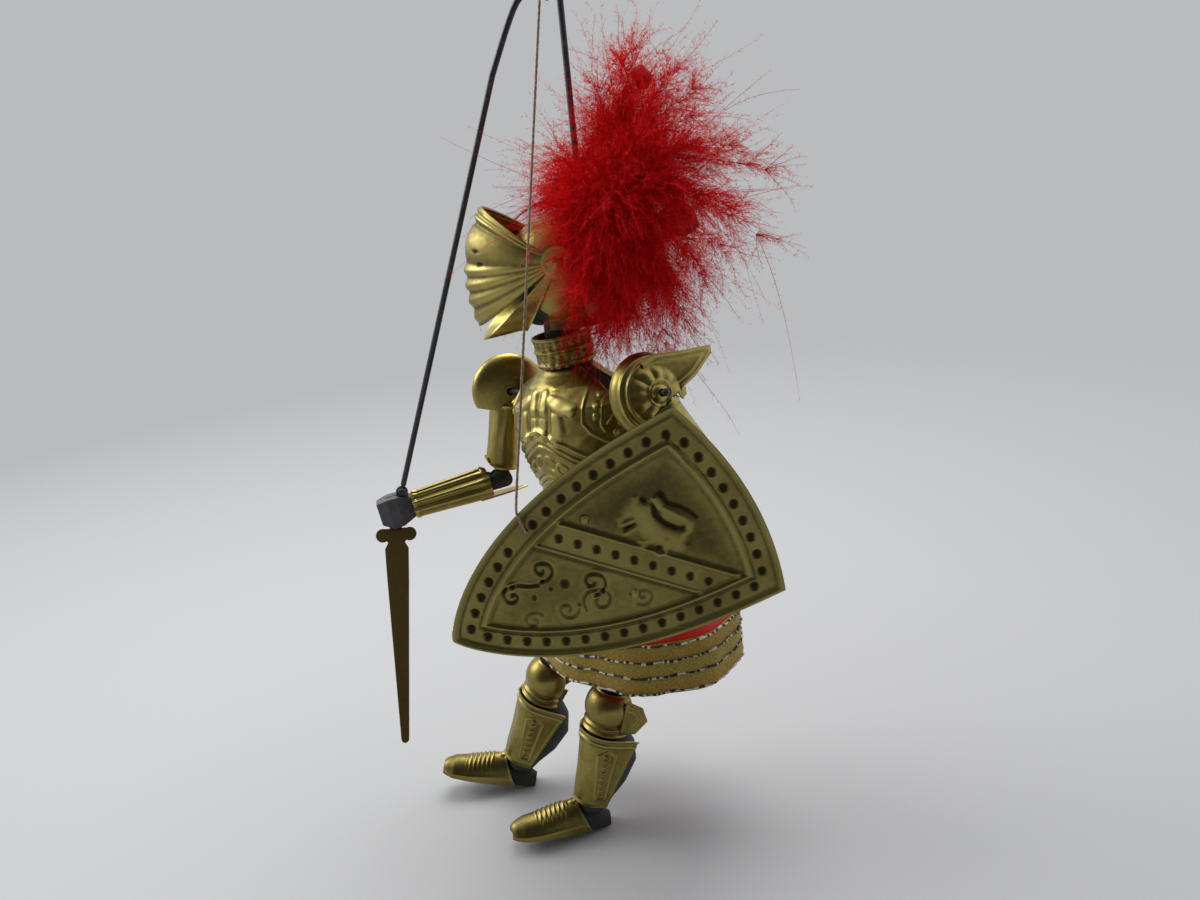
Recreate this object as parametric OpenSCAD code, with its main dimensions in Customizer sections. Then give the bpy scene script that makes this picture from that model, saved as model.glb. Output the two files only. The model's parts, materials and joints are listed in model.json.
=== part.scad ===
// Knight marionette in embossed sheet brass, hung from a head rod, with a hand rod, a shield string and a red plume

/* [Rods and wires] */
// Thickness of the head rod and the hand rod
rod_d = 2.8; // [2.4:0.1:3.4]
// Inner radius of the round eye that the knight hangs by
eye_r = 8; // [6:0.5:12]
// Drop from the centre of that eye to where the head hook starts
rod_drop = 97; // [80:1:180]
// Bend radius of the hook that carries the head
hook_r = 5; // [4.5:0.25:7]
// Thickness of the small wire eyes
eye_wire_d = 1.4; // [1:0.1:1.8]
// Centre line radius of the wire eye in the crown
crown_eye_r = 3.8; // [3.5:0.1:4.5]
// Thickness of the twine that holds the shield arm
string_d = 1.1; // [0.8:0.1:1.6]

/* [Fits] */
// Radial clearance of a pin that turns in its hole
turn_gap = 0.06; // [0.03:0.01:0.1]
// Clearance between pieces that move past each other
move_gap = 0.35; // [0.3:0.05:0.6]
// Clearance between pieces that are fixed together
seat_gap = 0.05; // [0.02:0.01:0.1]

/* [Sheet brass] */
// Thickness of the embossed sheet
sheet_t = 0.7; // [0.5:0.1:1]
// Height of raised beads and ridges
bead_h = 0.7; // [0.4:0.1:1]

/* [Pose] */
// Turn of the head to its right
head_turn = 40; // [0:1:60]
// Tilt of the head to its left
head_tilt = 2; // [0:0.5:6]
// Lean of the body, feet to the rear
body_lean = 3.5; // [0:0.5:8]
// Lean of the body, left shoulder up
body_side = 6; // [0:1:9]
// Forward swing of the right upper arm
right_swing = 18; // [10:1:25]
// Bend of the right elbow
right_bend = 70; // [60:1:80]
// Turn of the right arm to the right
right_yaw = 29; // [20:1:35]
// Backward swing of the left upper arm
left_swing = 22; // [15:1:28]
// Bend of the left elbow
left_bend = 105; // [95:1:115]
// Turn of the left arm to the right
left_yaw = 10; // [0:1:15]
// Spread of the left upper arm from the body
left_flare = 9; // [5:1:14]
// How much further each elbow bends when its rod or string is lifted
elbow_lift = 25; // [10:1:30]
// Turn of the right leg to the right
right_leg_yaw = 43; // [0:1:50]
// Forward swing of the right thigh
right_thigh_swing = 24; // [0:1:28]
// Bend of the right knee
right_knee_bend = 0; // [0:1:10]
// Turn of the left leg to the right
left_leg_yaw = 26; // [0:1:35]
// Forward swing of the left thigh
left_thigh_swing = 19; // [0:1:28]
// Bend of the left knee
left_knee_bend = 2; // [0:1:10]

/* [Head and helmet] */
// Outer radius of the helmet skull
skull_r = 26; // [24:0.5:28]
// Drop from the head hook to the centre of the skull
skull_drop = 31; // [30:0.5:34]
// Distance of the skull centre in front of the hook
skull_fwd = 5; // [3:0.5:7]
// Drop from the head hook to the visor rivets
pivot_drop = 23; // [20:0.5:26]
// Distance of the visor rivets in front of the hook
pivot_fwd = 7.5; // [5:0.5:9]
// Radius of the visor rivets
rivet_r = 1.2; // [0.8:0.1:1.6]
// Radius of the round visor lugs
lug_r = 7; // [5:0.5:8]
// Reach of the visor keel at its top edge, from the rivets
visor_top_r = 38.5; // [34:0.5:42]
// Reach of the visor keel at its bottom edge, from the rivets
visor_low_r = 48; // [44:0.5:52]
// Angle of the visor's top edge above level
visor_up = 37; // [25:1:45]
// Angle of the visor's bottom edge below level
visor_down = 37; // [30:1:40]
// Number of bellows pleats in the visor
pleats = 8; // [5:1:10]
// Depth of a pleat at the keel
pleat_h = 1.5; // [0.5:0.1:2]
// Reach of the chin guard's beak, from the rivets
beak_r = 51; // [48:0.5:54]
// Radius of the head's neck
neck_r = 8; // [6:0.5:9]
// Drop from the rod's end to the neck joint
neck_drop = 71; // [68:0.5:76]

/* [Plume] */
// Radius of the main mass of feathers
plume_r = 46; // [35:1:52]
// Distance of its centre behind the hook
plume_back = 46; // [30:1:52]
// Height of its centre above the hook
plume_up = -12; // [-30:1:10]
// Radius of the brass tube that holds the quills
tube_r = 3; // [2:0.25:4]

/* [Body] */
// Distance between the shoulder pins
shoulder_span = 104; // [100:1:110]
// Drop from the neck joint to the shoulder pins
shoulder_drop = 20; // [18:0.5:22]
// Half width of the chest
chest_w = 33; // [30:0.5:36]
// Reach of the chest in front of the neck axis
chest_fwd = 25; // [22:0.5:28]
// Reach of the back behind the neck axis
chest_back = 18; // [15:0.5:20]
// Half width of the waist
waist_w = 24; // [21:0.5:26]
// Drop from the neck joint to the waist edge of the plates
waist_drop = 86; // [80:1:92]
// Radius of the shoulder, elbow and knee pins
pin_r = 1.2; // [0.9:0.1:1.5]

/* [Arms] */
// Length from shoulder pin to elbow pin
upper_arm_len = 46; // [42:0.5:50]
// Length from elbow pin to wrist
forearm_len = 46; // [42:0.5:50]
// Radius of the arm cores
arm_core_r = 5.2; // [4.5:0.1:6]
// Rim radius of the round shoulder cups
pauldron_r = 17; // [15:0.5:18]
// Depth of the shoulder cups
pauldron_h = 12; // [9:0.5:14]
// Outer radius of the upper arm plates
arm_plate_r = 8.4; // [7.8:0.1:9]
// Outer radius of the forearm plate at the elbow
forearm_wide_r = 8.2; // [7.5:0.1:9]
// Outer radius of the forearm plate at the wrist
forearm_thin_r = 6.4; // [6:0.1:7]
// Number of flutes round the forearm plate
flutes = 9; // [6:1:12]
// Length of the closed fists
hand_len = 17; // [14:0.5:20]

/* [Sword] */
// Length of the blade
blade_len = 88; // [70:1:100]
// Width of the blade at the guard
blade_w = 10; // [8:0.5:12]
// Thickness of the sword sheet
blade_t = 1.2; // [1:0.1:1.6]
// Width of the guard over its round lobes
guard_w = 22; // [18:0.5:26]

/* [Shield] */
// Width of the shield's top edge
shield_w = 91.5; // [80:0.5:100]
// Rise of the top edge above its corners
crown_h = 7.8; // [2:0.1:10]
// Height of the shield to its point
shield_h = 130; // [115:1:140]
// Distance of the inner ridge from the edge
border_w = 11.8; // [8:0.1:14]
// Distance of the row of dots from the edge
dot_inset = 7.5; // [4:0.1:9]
// Radius of a punched dot in the border
dot_r = 1.6; // [1:0.1:2]
// Distance between the dots
dot_step = 8.1; // [6.5:0.1:10]
// Radius of the hole for the string
string_hole_r = 1.3; // [1:0.1:1.6]

/* [Skirt] */
// Half width of the hem
hem_w = 56; // [46:0.5:58]
// Half depth of the hem
hem_d = 44; // [38:0.5:48]
// Height of the hem above the soles' level
hem_level = 78; // [70:1:90]
// Number of folds round the hem
folds = 9; // [5:1:12]
// Depth of a fold at the hem
fold_h = 1.6; // [0.5:0.1:2.4]
// Thickness of the cloth
cloth_t = 0.8; // [0.5:0.1:1.2]
// Width of the brocade braid along the hem
braid_w = 17; // [12:0.5:20]
// Thickness of the braid
braid_t = 1; // [0.6:0.1:1.4]

/* [Legs] */
// Distance between the hips
hip_span = 38; // [34:0.5:42]
// Drop from the neck joint to the hips
hip_drop = 112; // [108:1:116]
// Length from hip hook to knee pin
thigh_len = 66; // [60:0.5:70]
// Length from knee pin to ankle
shin_len = 53; // [48:0.5:58]
// Length of the foot in front of the ankle
foot_len = 38; // [34:0.5:42]
// Radius of the leg cores
leg_core_r = 6.4; // [5.5:0.1:7]
// Outer radius of the knee cops
knee_r = 12; // [11:0.25:13]

/* [Hidden] */
$fn = 48;
RIGHT = -1;
LEFT = 1;

brass = "#b09a4c";
old_brass = "#8f8a4e";
dark_core = "#33362f";
wire_black = "#2b2f38";
lead_grey = "#4a4d52";
feather_red = "#d81420";
cloth_red = "#9c1218";
braid_gold = "#c9b184";
twine = "#a98a5c";

// Neck joint, measured from the hanging eye
neck_at = [-6, -13.5, -rod_drop - neck_drop];
soles_z = -rod_drop - 299;
body_turn = [body_lean, -body_side, 0];
// Half of a rod
rod_r = rod_d / 2;
eye_wire_r = eye_wire_d / 2;

// v turned by the angles a about X, then Y, then Z
function turned(v, a) =
    let (y1 = v.y * cos(a.x) - v.z * sin(a.x), z1 = v.y * sin(a.x) + v.z * cos(a.x),
         x2 = v.x * cos(a.y) + z1 * sin(a.y), z2 = -v.x * sin(a.y) + z1 * cos(a.y))
    [x2 * cos(a.z) - y1 * sin(a.z), x2 * sin(a.z) + y1 * cos(a.z), z2];

// Triangles of a grid with rows of n points, closed round each row if wrap is true
// Rows run from the top down, and their points counterclockwise seen from above
function grid_faces(rows, n, start, flip, wrap) =
    [for (r = [0:rows - 2], c = [0:n - (wrap ? 1 : 2)])
        let (a = start + r * n + c, b = start + r * n + (c + 1) % n, d = a + n, e = b + n)
        each flip ? [[a, d, b], [b, d, e]] : [[a, b, d], [b, e, d]]];

// Closed solid through rings of points
module loft(rings) {
    n = len(rings[0]);
    rows = len(rings);
    polyhedron(
        points = [for (r = rings) each r],
        faces = concat(grid_faces(rows, n, 0, false, true),
                       [[for (i = [0:n - 1]) n - 1 - i]],
                       [[for (i = [0:n - 1]) (rows - 1) * n + i]]),
        convexity = 8);
}

// Open sheet with an outer and an inner grid of points
module sheet(outer, inner) {
    n = len(outer[0]);
    rows = len(outer);
    k = rows * n;
    last = (rows - 1) * n;
    polyhedron(
        points = concat([for (r = outer) each r], [for (r = inner) each r]),
        faces = concat(grid_faces(rows, n, 0, false, false), grid_faces(rows, n, k, true, false),
                       [for (c = [0:n - 2]) each [[c + 1, c, k + c], [c + 1, k + c, k + c + 1]]],
                       [for (c = [0:n - 2]) each [[last + c, last + c + 1, k + last + c],
                                                  [last + c + 1, k + last + c + 1, k + last + c]]],
                       [for (r = [0:rows - 2]) let (a = r * n) each [[a, a + n, k + a], [a + n, k + a + n, k + a]]],
                       [for (r = [0:rows - 2]) let (a = r * n + n - 1)
                           each [[a + n, a, k + a], [a + n, k + a, k + a + n]]]),
        convexity = 8);
}

// Closed sleeve with an outer and an inner grid of rings
module sleeve(outer, inner) {
    n = len(outer[0]);
    rows = len(outer);
    k = rows * n;
    last = (rows - 1) * n;
    polyhedron(
        points = concat([for (r = outer) each r], [for (r = inner) each r]),
        faces = concat(grid_faces(rows, n, 0, false, true), grid_faces(rows, n, k, true, true),
                       [for (c = [0:n - 1]) let (d = (c + 1) % n) each [[d, c, k + c], [d, k + c, k + d]]],
                       [for (c = [0:n - 1]) let (d = (c + 1) % n)
                           each [[last + c, last + d, k + last + c], [last + d, k + last + d, k + last + c]]]),
        convexity = 8);
}

function unit(v) = v / norm(v);

// Round wire through points that lie near the plane at right angles to across
module tube(points, r, across) {
    n = len(points);
    sides = 8;
    loft([for (i = [0:n - 1])
        let (before = points[max(i, 1)] - points[max(i, 1) - 1],
             after = points[min(i, n - 2) + 1] - points[min(i, n - 2)],
             along = unit(unit(before) + unit(after)),
             u = unit(cross(along, across)),
             v = cross(u, along))
        [for (k = [0:sides - 1]) points[i] + r * (cos(360 * k / sides) * u + sin(360 * k / sides) * v)]]);
}

// Small tied knot
module knot(r) loft([for (lat = [75, 40, 0, -40, -75])
    [for (k = [0:7]) r * [cos(lat) * cos(45 * k), cos(lat) * sin(45 * k), sin(lat)]]]);

module torus(r, d) rotate_extrude() translate([r, 0]) circle(d = d);

// Pin through a joint, along X
module cross_pin(half, r) rotate([0, 90, 0]) cylinder(h = 2 * half, r = r, center = true);

module in_head()
    translate([-hook_r * sin(head_turn), -hook_r * cos(head_turn), -rod_drop - hook_r])
        rotate([0, head_tilt, -head_turn]) children();

module in_body() translate(neck_at) rotate(body_turn) children();

function body_point(p) = neck_at + turned(p, body_turn);
function arm_turn(side) = side == RIGHT ? [-right_swing, 0, -right_yaw] : [left_swing, -left_flare, -left_yaw];
function shoulder_at(side) = [side * shoulder_span / 2, 0, -shoulder_drop];
function elbow_bend(side) = side == RIGHT ? right_bend : left_bend;

module in_upper_arm(side) in_body() translate(shoulder_at(side)) rotate(arm_turn(side)) children();

module in_forearm(side)
    in_upper_arm(side) translate([0, 0, -upper_arm_len]) rotate([-elbow_bend(side), 0, 0]) children();

// A point of the forearm, measured from the hanging eye
function forearm_point(p, side) =
    body_point(shoulder_at(side) + turned([0, 0, -upper_arm_len] + turned(p, [-elbow_bend(side), 0, 0]),
                                          arm_turn(side)));

// Rods

function hip_at(side) = body_point([side * hip_span / 2, 0, -hip_drop]);

module head_rod() color(wire_black) {
    rotate([0, 90, 0]) torus(eye_r + rod_r, rod_d);
    hook = [for (i = [0:hook_steps])
        let (a = 180 * i / hook_steps) [0, hook_r * (cos(a) - 1), -rod_drop - hook_r * sin(a)]];
    rotate([0, 0, -head_turn])
        tube(concat([[0, 0, -eye_r - rod_r]], hook, [[0, -2 * hook_r, -rod_drop + 1.5 * rod_d]]), rod_r, [1, 0, 0]);
}
hook_steps = 12;

// Head, all measured from the hook

pivot = [0, -pivot_fwd, -pivot_drop];
skull_at = [0, -skull_fwd, -skull_drop];
helmet_t = 1;
core_r = skull_r - helmet_t - 0.15;
// The crown eye rides on top of the hook wire
crown_eye_z = rod_r + move_gap + eye_wire_r - crown_eye_r;
stem_len = 8;
chin_lug_x = skull_r + 0.6;
visor_lug_x = chin_lug_x + sheet_t + 2 * move_gap;
rivet_head_r = 2.6;
// Angle of the plume tube to the rear
tube_tip = 35;
brow_z = -17;
collar_z = -54;
face_half = 19;

module crown_eye() color(brass) in_head() translate([0, 0, crown_eye_z]) {
    rotate([90, 0, 0]) torus(crown_eye_r, eye_wire_d);
    translate([0, 0, -crown_eye_r - stem_len]) cylinder(h = stem_len, r = eye_wire_r);
}

module crown_hole() translate([0, 0, crown_eye_z - crown_eye_r - stem_len - 1])
    cylinder(h = stem_len + 2 * crown_eye_r, r = eye_wire_r + seat_gap);

module rivet_hole() translate(pivot) cross_pin(2 * skull_r, rivet_r + seat_gap);

module on_tube() translate(skull_at) rotate([-tube_tip, 0, 0]) children();

module helmet() color(old_brass) in_head() difference() {
    union() {
        translate(skull_at) sphere(r = skull_r);
        // Rolled neck edge
        translate([0, -skull_fwd, collar_z]) cylinder(h = 8, r1 = 19, r2 = 16.5);
    }
    translate(skull_at) sphere(r = skull_r - helmet_t);
    translate([0, -skull_fwd, collar_z - 6]) cylinder(h = 19, r1 = 18.4, r2 = 15.7);
    // Face opening and the cut under the chin
    translate([-face_half, -60, collar_z - 1]) cube([2 * face_half, 60 - skull_fwd - 9, brow_z - collar_z + 1]);
    translate([-40, -60, collar_z - 1]) cube([80, 60 - skull_fwd - 12, 22]);
    crown_hole();
    translate([0, 0, crown_eye_z]) rotate([90, 0, 0]) torus(crown_eye_r, eye_wire_d + 2 * seat_gap);
    on_tube() cylinder(h = 2 * skull_r, r = tube_r + seat_gap);
    rivet_hole();
}

module head_core() color(dark_core) difference() {
    union() {
        in_head() {
            translate(skull_at) sphere(r = core_r);
            // Plain doll's face: nose, bridge, chin and eyes
            translate([0, -skull_fwd - core_r + 1, -34]) sphere(r = 3);
            translate([0, -skull_fwd - core_r + 2.5, -30]) sphere(r = 2.6);
            translate([0, -skull_fwd - 13, -46]) sphere(r = 9);
            for (s = [-1, 1]) translate([s * 8, -skull_fwd - core_r + 4.4, -28]) sphere(r = 3.4);
        }
        translate([neck_at.x, neck_at.y, neck_at.z + neck_space]) cylinder(h = 26, r = neck_r);
    }
    in_head() {
        // Mouth
        translate([0, -skull_fwd - 22.6, -41]) rotate([0, 90, 0]) cylinder(h = 9, r = 0.8, center = true);
        crown_hole();
        on_tube() translate([0, 0, skull_r - 7]) cylinder(h = 20, r = tube_r + seat_gap);
        rivet_hole();
    }
    translate([neck_at.x, neck_at.y, neck_at.z]) cylinder(h = neck_space + 14, r = neck_pin_r + seat_gap);
}

// One row of points across the face at an angle above level, with reach r at the keel
// The reach shrinks towards the sides with the power p
function face_row(up, r, half, p, n) =
    [for (i = [0:n])
        let (x = half * sin(180 * i / n - 90), s = min(1, abs(x) / half),
             reach = 3 + (r - 3) * pow(1 - pow(s, p), 1 / p))
        [x, pivot.y - reach * cos(up), pivot.z + reach * sin(up)]];

function visor_reach(up) =
    visor_top_r + (visor_low_r - visor_top_r) * pow((visor_up - up) / (visor_up + visor_down), 2.2);

visor_half = visor_lug_x + sheet_t / 2;
visor_power = 1.6;
skin_t = 1.3 * sheet_t;

module lug(x, r, hole) for (s = [-1, 1]) translate([s * x, pivot.y, pivot.z]) difference() {
    cross_pin(sheet_t / 2, r);
    cross_pin(sheet_t, hole);
}

module visor() color(brass) in_head() {
    n = 2 * pleats;
    ups = [for (i = [0:n]) visor_up - (visor_up + visor_down) * i / n];
    reach = [for (i = [0:n]) visor_reach(ups[i]) + (i % 2) * pleat_h];
    sheet([for (i = [0:n]) face_row(ups[i], reach[i], visor_half + sheet_t / 2, visor_power, 14)],
          [for (i = [0:n]) face_row(ups[i], reach[i] - skin_t, visor_half - sheet_t / 2, visor_power, 14)]);
    lug(visor_half, lug_r, rivet_r + turn_gap);
}

chin_half = chin_lug_x + sheet_t / 2;
chin_top = -visor_down - 6;
chin_low = -62;
chin_r = 37;
chin_power = 2.6;

module chin_guard() color(brass) in_head() {
    ups = [for (i = [0:5]) chin_top - (chin_top - chin_low) * i / 5];
    reach = [for (i = [0:5]) chin_r + (beak_r - chin_r) * pow(1 - i / 5, 1.5)];
    sheet([for (i = [0:5]) face_row(ups[i], reach[i], chin_half + sheet_t / 2, chin_power, 16)],
          [for (i = [0:5]) face_row(ups[i], reach[i] - skin_t, chin_half - sheet_t / 2, chin_power, 16)]);
    lug(chin_half, lug_r - 1, rivet_r + seat_gap);
}

module visor_rivets() color(old_brass) in_head() for (s = [-1, 1]) translate(pivot) rotate([0, s * 90, 0]) {
    translate([0, 0, skull_r - 8]) cylinder(h = 8 + visor_lug_x - skull_r + sheet_t + move_gap, r = rivet_r);
    translate([0, 0, visor_lug_x + sheet_t + move_gap]) intersection() {
        translate([0, 0, -rivet_head_r]) sphere(r = 1.42 * rivet_head_r);
        cylinder(h = 3, r = rivet_head_r);
    }
}

module plume_tube() color(brass) in_head() on_tube() difference() {
    translate([0, 0, skull_r - 6]) cylinder(h = 11, r = tube_r);
    translate([0, 0, skull_r - 4]) cylinder(h = 12, r = tube_r - 0.6);
}

// Feathers: one soft mass behind and above the helmet
module plume() color(feather_red) in_head() difference() {
    translate([0, plume_back, plume_up]) {
        sphere(r = plume_r);
        translate([0, -8, 0.72 * plume_r]) sphere(r = 0.76 * plume_r);
        translate([0, -12, 1.35 * plume_r]) sphere(r = 0.46 * plume_r);
        translate([0, -0.7 * plume_r, 0.2 * plume_r]) sphere(r = 0.7 * plume_r);
    }
    translate(skull_at) sphere(r = skull_r + 1.2 + move_gap);
    on_tube() cylinder(h = skull_r + 5 + move_gap, r = tube_r + move_gap);
    // Room for the hook, the rods, the visor and the shoulders as they move
    translate([-80, -100, -120]) cube([160, 100 + 9, 240]);
    translate([-80, -80, -150]) cube([160, 200, 150 - 56]);
}

// Body

neck_pin_r = 2;
neck_pin_len = 16;
// Height of the head's neck above the body's neck
neck_space = 5;

module neck_pin() color(wire_black) translate([neck_at.x, neck_at.y, neck_at.z - neck_pin_len])
    cylinder(h = neck_pin_len + neck_space + 12, r = neck_pin_r);

// Flare of the plates at their waist edge
waist_out = 4;
// The skirt's seat on the core, inside that flare
seat_in = 1.8;
// The body's outline: drop from the neck, half width, reach in front, reach behind
body_shape =
    [[5, 10, 10, 10], [9, 17, 13, 12], [14, 27, 18, 15], [22, chest_w, 22, 17], [34, chest_w, chest_fwd, chest_back],
     [50, chest_w - 3, chest_fwd, chest_back], [66, waist_w + 2, chest_fwd - 4, chest_back - 1],
     [78, waist_w, chest_fwd - 6, chest_back - 2],
     [waist_drop, waist_w + waist_out, chest_fwd - 6 + waist_out, chest_back - 2 + waist_out]];
last_row = len(body_shape) - 1;

function body_row(s, grow, from, to, n) =
    [for (i = [0:n])
        let (t = from + (to - from) * i / n, deep = cos(t) > 0 ? s[2] : s[3])
        [(s[1] + grow) * sin(t), -(deep + grow) * cos(t), -s[0]]];

core_gap = 0.7;
hip_pin_len = 18;
hip_gap = 3 * move_gap;
// The core follows the plates, seats the skirt below them, and ends flat above the hips
core_shape = [for (i = [0:last_row + 1]) i < last_row ? body_shape[i] : i == last_row ?
    [waist_drop + 2, for (k = [1:3]) body_shape[i][k] - seat_in - cloth_t - core_gap + sheet_t] :
    [hip_drop - leg_core_r - hip_gap, hip_span / 2 + 6, 16, 15]];

module torso_core() color(dark_core) difference() {
    in_body() loft([for (row = core_shape) body_row(row, -sheet_t - core_gap, 0, 345, 23)]);
    translate([neck_at.x, neck_at.y, neck_at.z - neck_pin_len - 2]) cylinder(h = 40, r = neck_pin_r + turn_gap);
    in_body() for (side = [RIGHT, LEFT]) shoulder_wire(side, pin_r + seat_gap);
    in_body() rivet_set(1 + seat_gap);
    for (side = [RIGHT, LEFT]) translate(hip_at(side)) cylinder(h = hip_pin_len + 2, r = pin_r + turn_gap);
}

// Half of the front plate's sweep round the body at a drop from the neck; the arm holes are above
function plate_edge(drop) = drop < 30 ? 66 : drop < 45 ? 66 + (drop - 30) * 25 / 15 : 91;

module body_plate(middle) {
    rows = [for (i = [1:last_row]) body_shape[i]];
    sheet([for (s = rows) let (e = middle == 0 ? plate_edge(s[0]) : min(88, plate_edge(s[0])))
               body_row(s, 0, middle - e, middle + e, 24)],
          [for (s = rows) let (e = middle == 0 ? plate_edge(s[0]) : min(88, plate_edge(s[0])))
               body_row(s, -sheet_t, middle - e, middle + e, 24)]);
}

module breastplate() color(old_brass) in_body() difference() {
    body_plate(0);
    rivet_set(1 + seat_gap);
}
module backplate() color(old_brass) in_body() difference() {
    body_plate(180);
    rivet_set(1 + seat_gap);
}

gorget_r = 12.5;
module gorget() color(brass) in_body() translate([0, 0, -body_shape[0][0]]) rotate_extrude()
    polygon([[gorget_r, -1], [gorget_r + 0.8, -1], [gorget_r + 0.8, 3], [gorget_r + 1.6, 4],
             [gorget_r + 0.8, 5], [gorget_r, 5]]);

// Rivets through the side edges of both plates
module rivet_set(r) for (side = [RIGHT, LEFT], y = [-5, 4], row = [body_shape[5], body_shape[7]])
    translate([side * (row[1] - 3), y, -row[0]]) rotate([0, side * 90, 0]) cylinder(h = 3.7, r = r);

module plate_rivets() color(old_brass) in_body() rivet_set(1);

// Skirt

skirt_top = waist_drop - 1;
hem_at = [neck_at.x + 15, neck_at.y + 13, soles_z + hem_level];
skirt_rows = 7;
skirt_n = 54;

// A point of the cloth: t from waist to hem, a round the body, grown outwards
function skirt_point(t, a, grow) =
    let (waist = body_shape[last_row],
         top = body_point([(waist[1] - seat_in + grow) * sin(a),
                           -(waist[cos(a) > 0 ? 2 : 3] - seat_in + grow) * cos(a), -skirt_top]),
         fold = fold_h * t * cos(folds * a),
         low = hem_at + [(hem_w + fold + grow) * sin(a), -(hem_d + fold + grow) * cos(a), 0],
         out = pow(t, 0.8))
    [top.x + (low.x - top.x) * out, top.y + (low.y - top.y) * out, top.z + (low.z - top.z) * t];

function skirt_ring(t, grow) = [for (i = [0:skirt_n - 1]) skirt_point(t, i * 360 / skirt_n, grow)];

module skirt() color(cloth_red)
    sleeve([for (i = [0:skirt_rows]) skirt_ring(i / skirt_rows, 0)],
           [for (i = [0:skirt_rows]) skirt_ring(i / skirt_rows, -cloth_t)]);

skirt_fall = body_point([0, 0, -skirt_top]).z - hem_at.z;
braid_share = braid_w / skirt_fall;
braid_rows = [1 - braid_share, 1 - braid_share / 2, 1];

module hem_braid() color(braid_gold)
    sleeve([for (t = braid_rows) skirt_ring(t, braid_t + seat_gap)], [for (t = braid_rows) skirt_ring(t, seat_gap)]);

// Arms

cup_x = arm_core_r + 3 - pauldron_h;
// The pin's ball stands just clear of the boss on the shoulder cup
boss_top = 1.2;
ball_r = 1.4 * pin_r;
pin_end = cup_x + pauldron_h + boss_top + move_gap + ball_r;
// Bent wire from inside the body out through the arm's shoulder
module shoulder_wire(side, r) {
    inner = shoulder_at(side) + turned([-side * (arm_core_r + 3), 0, 0], arm_turn(side));
    outer = shoulder_at(side) + turned([side * pin_end, 0, 0], arm_turn(side));
    tube([[side * 14, 0, -shoulder_drop], inner, outer], r, [0, 0, 1]);
}

module shoulder_pin(side) color(wire_black) in_body() {
    shoulder_wire(side, pin_r);
    translate(shoulder_at(side) + turned([side * pin_end, 0, 0], arm_turn(side))) sphere(r = ball_r);
}
module right_shoulder_pin() shoulder_pin(RIGHT);
module left_shoulder_pin() shoulder_pin(LEFT);

// A limb core whose lower end is a tongue on a pin, from drop top to the pin at drop len
// Its child, measured from that pin, is cut from the round core
module tongue_core(top, len, r1, r2, end_r) difference() {
    union() {
        difference() {
            translate([0, 0, -len + end_r + 1.5]) cylinder(h = len - end_r - 1.5 - top, r1 = r2, r2 = r1);
            translate([0, 0, -len]) children();
        }
        translate([-tongue_t / 2, -r2 + 1, -len]) cube([tongue_t, 2 * r2 - 2, end_r + 3]);
        translate([0, 0, -len]) cross_pin(tongue_t / 2, end_r);
    }
    translate([0, 0, -len]) cross_pin(3 * tongue_t, pin_r + turn_gap);
}

// A limb core whose upper end is a fork round the pin at the origin, with its child cut from the round core
module fork_core(len, r1, r2, end_r, slot_len) difference() {
    union() {
        difference() {
            translate([0, 0, -len]) cylinder(h = len, r1 = r2, r2 = r1);
            children();
        }
        intersection() {
            cross_pin(r1, end_r);
            translate([0, 0, -end_r]) cylinder(h = 2 * end_r, r = r1);
        }
    }
    translate([-tongue_t / 2 - move_gap, -3 * r1, -slot_len]) cube([tongue_t + 2 * move_gap, 6 * r1, slot_len + 3 * end_r]);
    cross_pin(3 * tongue_t, pin_r + seat_gap);
}

tongue_t = 4;
plate_top = 5.5;
plate_gap = 9;

// Room that the inside of the elbow needs when it is bent as far as it goes
// Up is 1 for the pieces above the elbow, and -1 for those below it
module bend_room(side, up) {
    half = (180 - elbow_bend(side) - elbow_lift) / 2 - 1;
    rotate([up * half, 0, 0]) translate([-30, -60, -60]) cube([60, 60 + move_gap, 120]);
}

module upper_arm(side) color(dark_core) in_upper_arm(side) difference() {
    union() {
        tongue_core(0, upper_arm_len, arm_core_r, arm_core_r - 1, 4.2) bend_room(side, 1);
        cross_pin(arm_core_r, arm_core_r + 0.8);
    }
    cross_pin(3 * arm_core_r, pin_r + turn_gap);
}
module right_upper_arm() upper_arm(RIGHT);
module left_upper_arm() upper_arm(LEFT);

// Height of the shoulder cup at a distance r from its middle, with two rings and a boss
function cup_height(r) = (pauldron_h - 1) * sqrt(1 - pow(r / (pauldron_r + 0.6), 2));
cup_steps = [0.98, 0.86, 0.83, 0.64, 0.6, 0.56, 0.4, 0.36];
boss_r = 4;

// Round cup over the shoulder, open towards the body and below
module pauldron(side) color(brass) in_upper_arm(side) difference() {
    translate([side * cup_x, 0, 0]) rotate([0, side * 90, 0]) rotate_extrude() polygon(concat(
        [[pauldron_r, 0], [pauldron_r + 1, 0], [pauldron_r + 1, 1.5]],
        [for (i = [0:len(cup_steps) - 1]) let (r = cup_steps[i] * pauldron_r)
            [r, cup_height(r) + (i % 3 == 0 ? bead_h : 0)]],
        [[boss_r, pauldron_h - 0.6], [boss_r - 1, pauldron_h + boss_top - 0.3], [pin_r + 0.4, pauldron_h + boss_top],
         [pin_r + 0.4, pauldron_h - 1.4], [boss_r, pauldron_h - 1.4 - sheet_t]],
        [for (i = [len(cup_steps) - 1:-1:0]) let (r = cup_steps[i] * pauldron_r - sheet_t)
            [r, cup_height(cup_steps[i] * pauldron_r) - sheet_t]]));
    // Open below, where the arm plate begins
    translate([-40, -40, -60]) cube([80, 80, 60 - 5]);
}
module right_pauldron() pauldron(RIGHT);
module left_pauldron() pauldron(LEFT);

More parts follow.
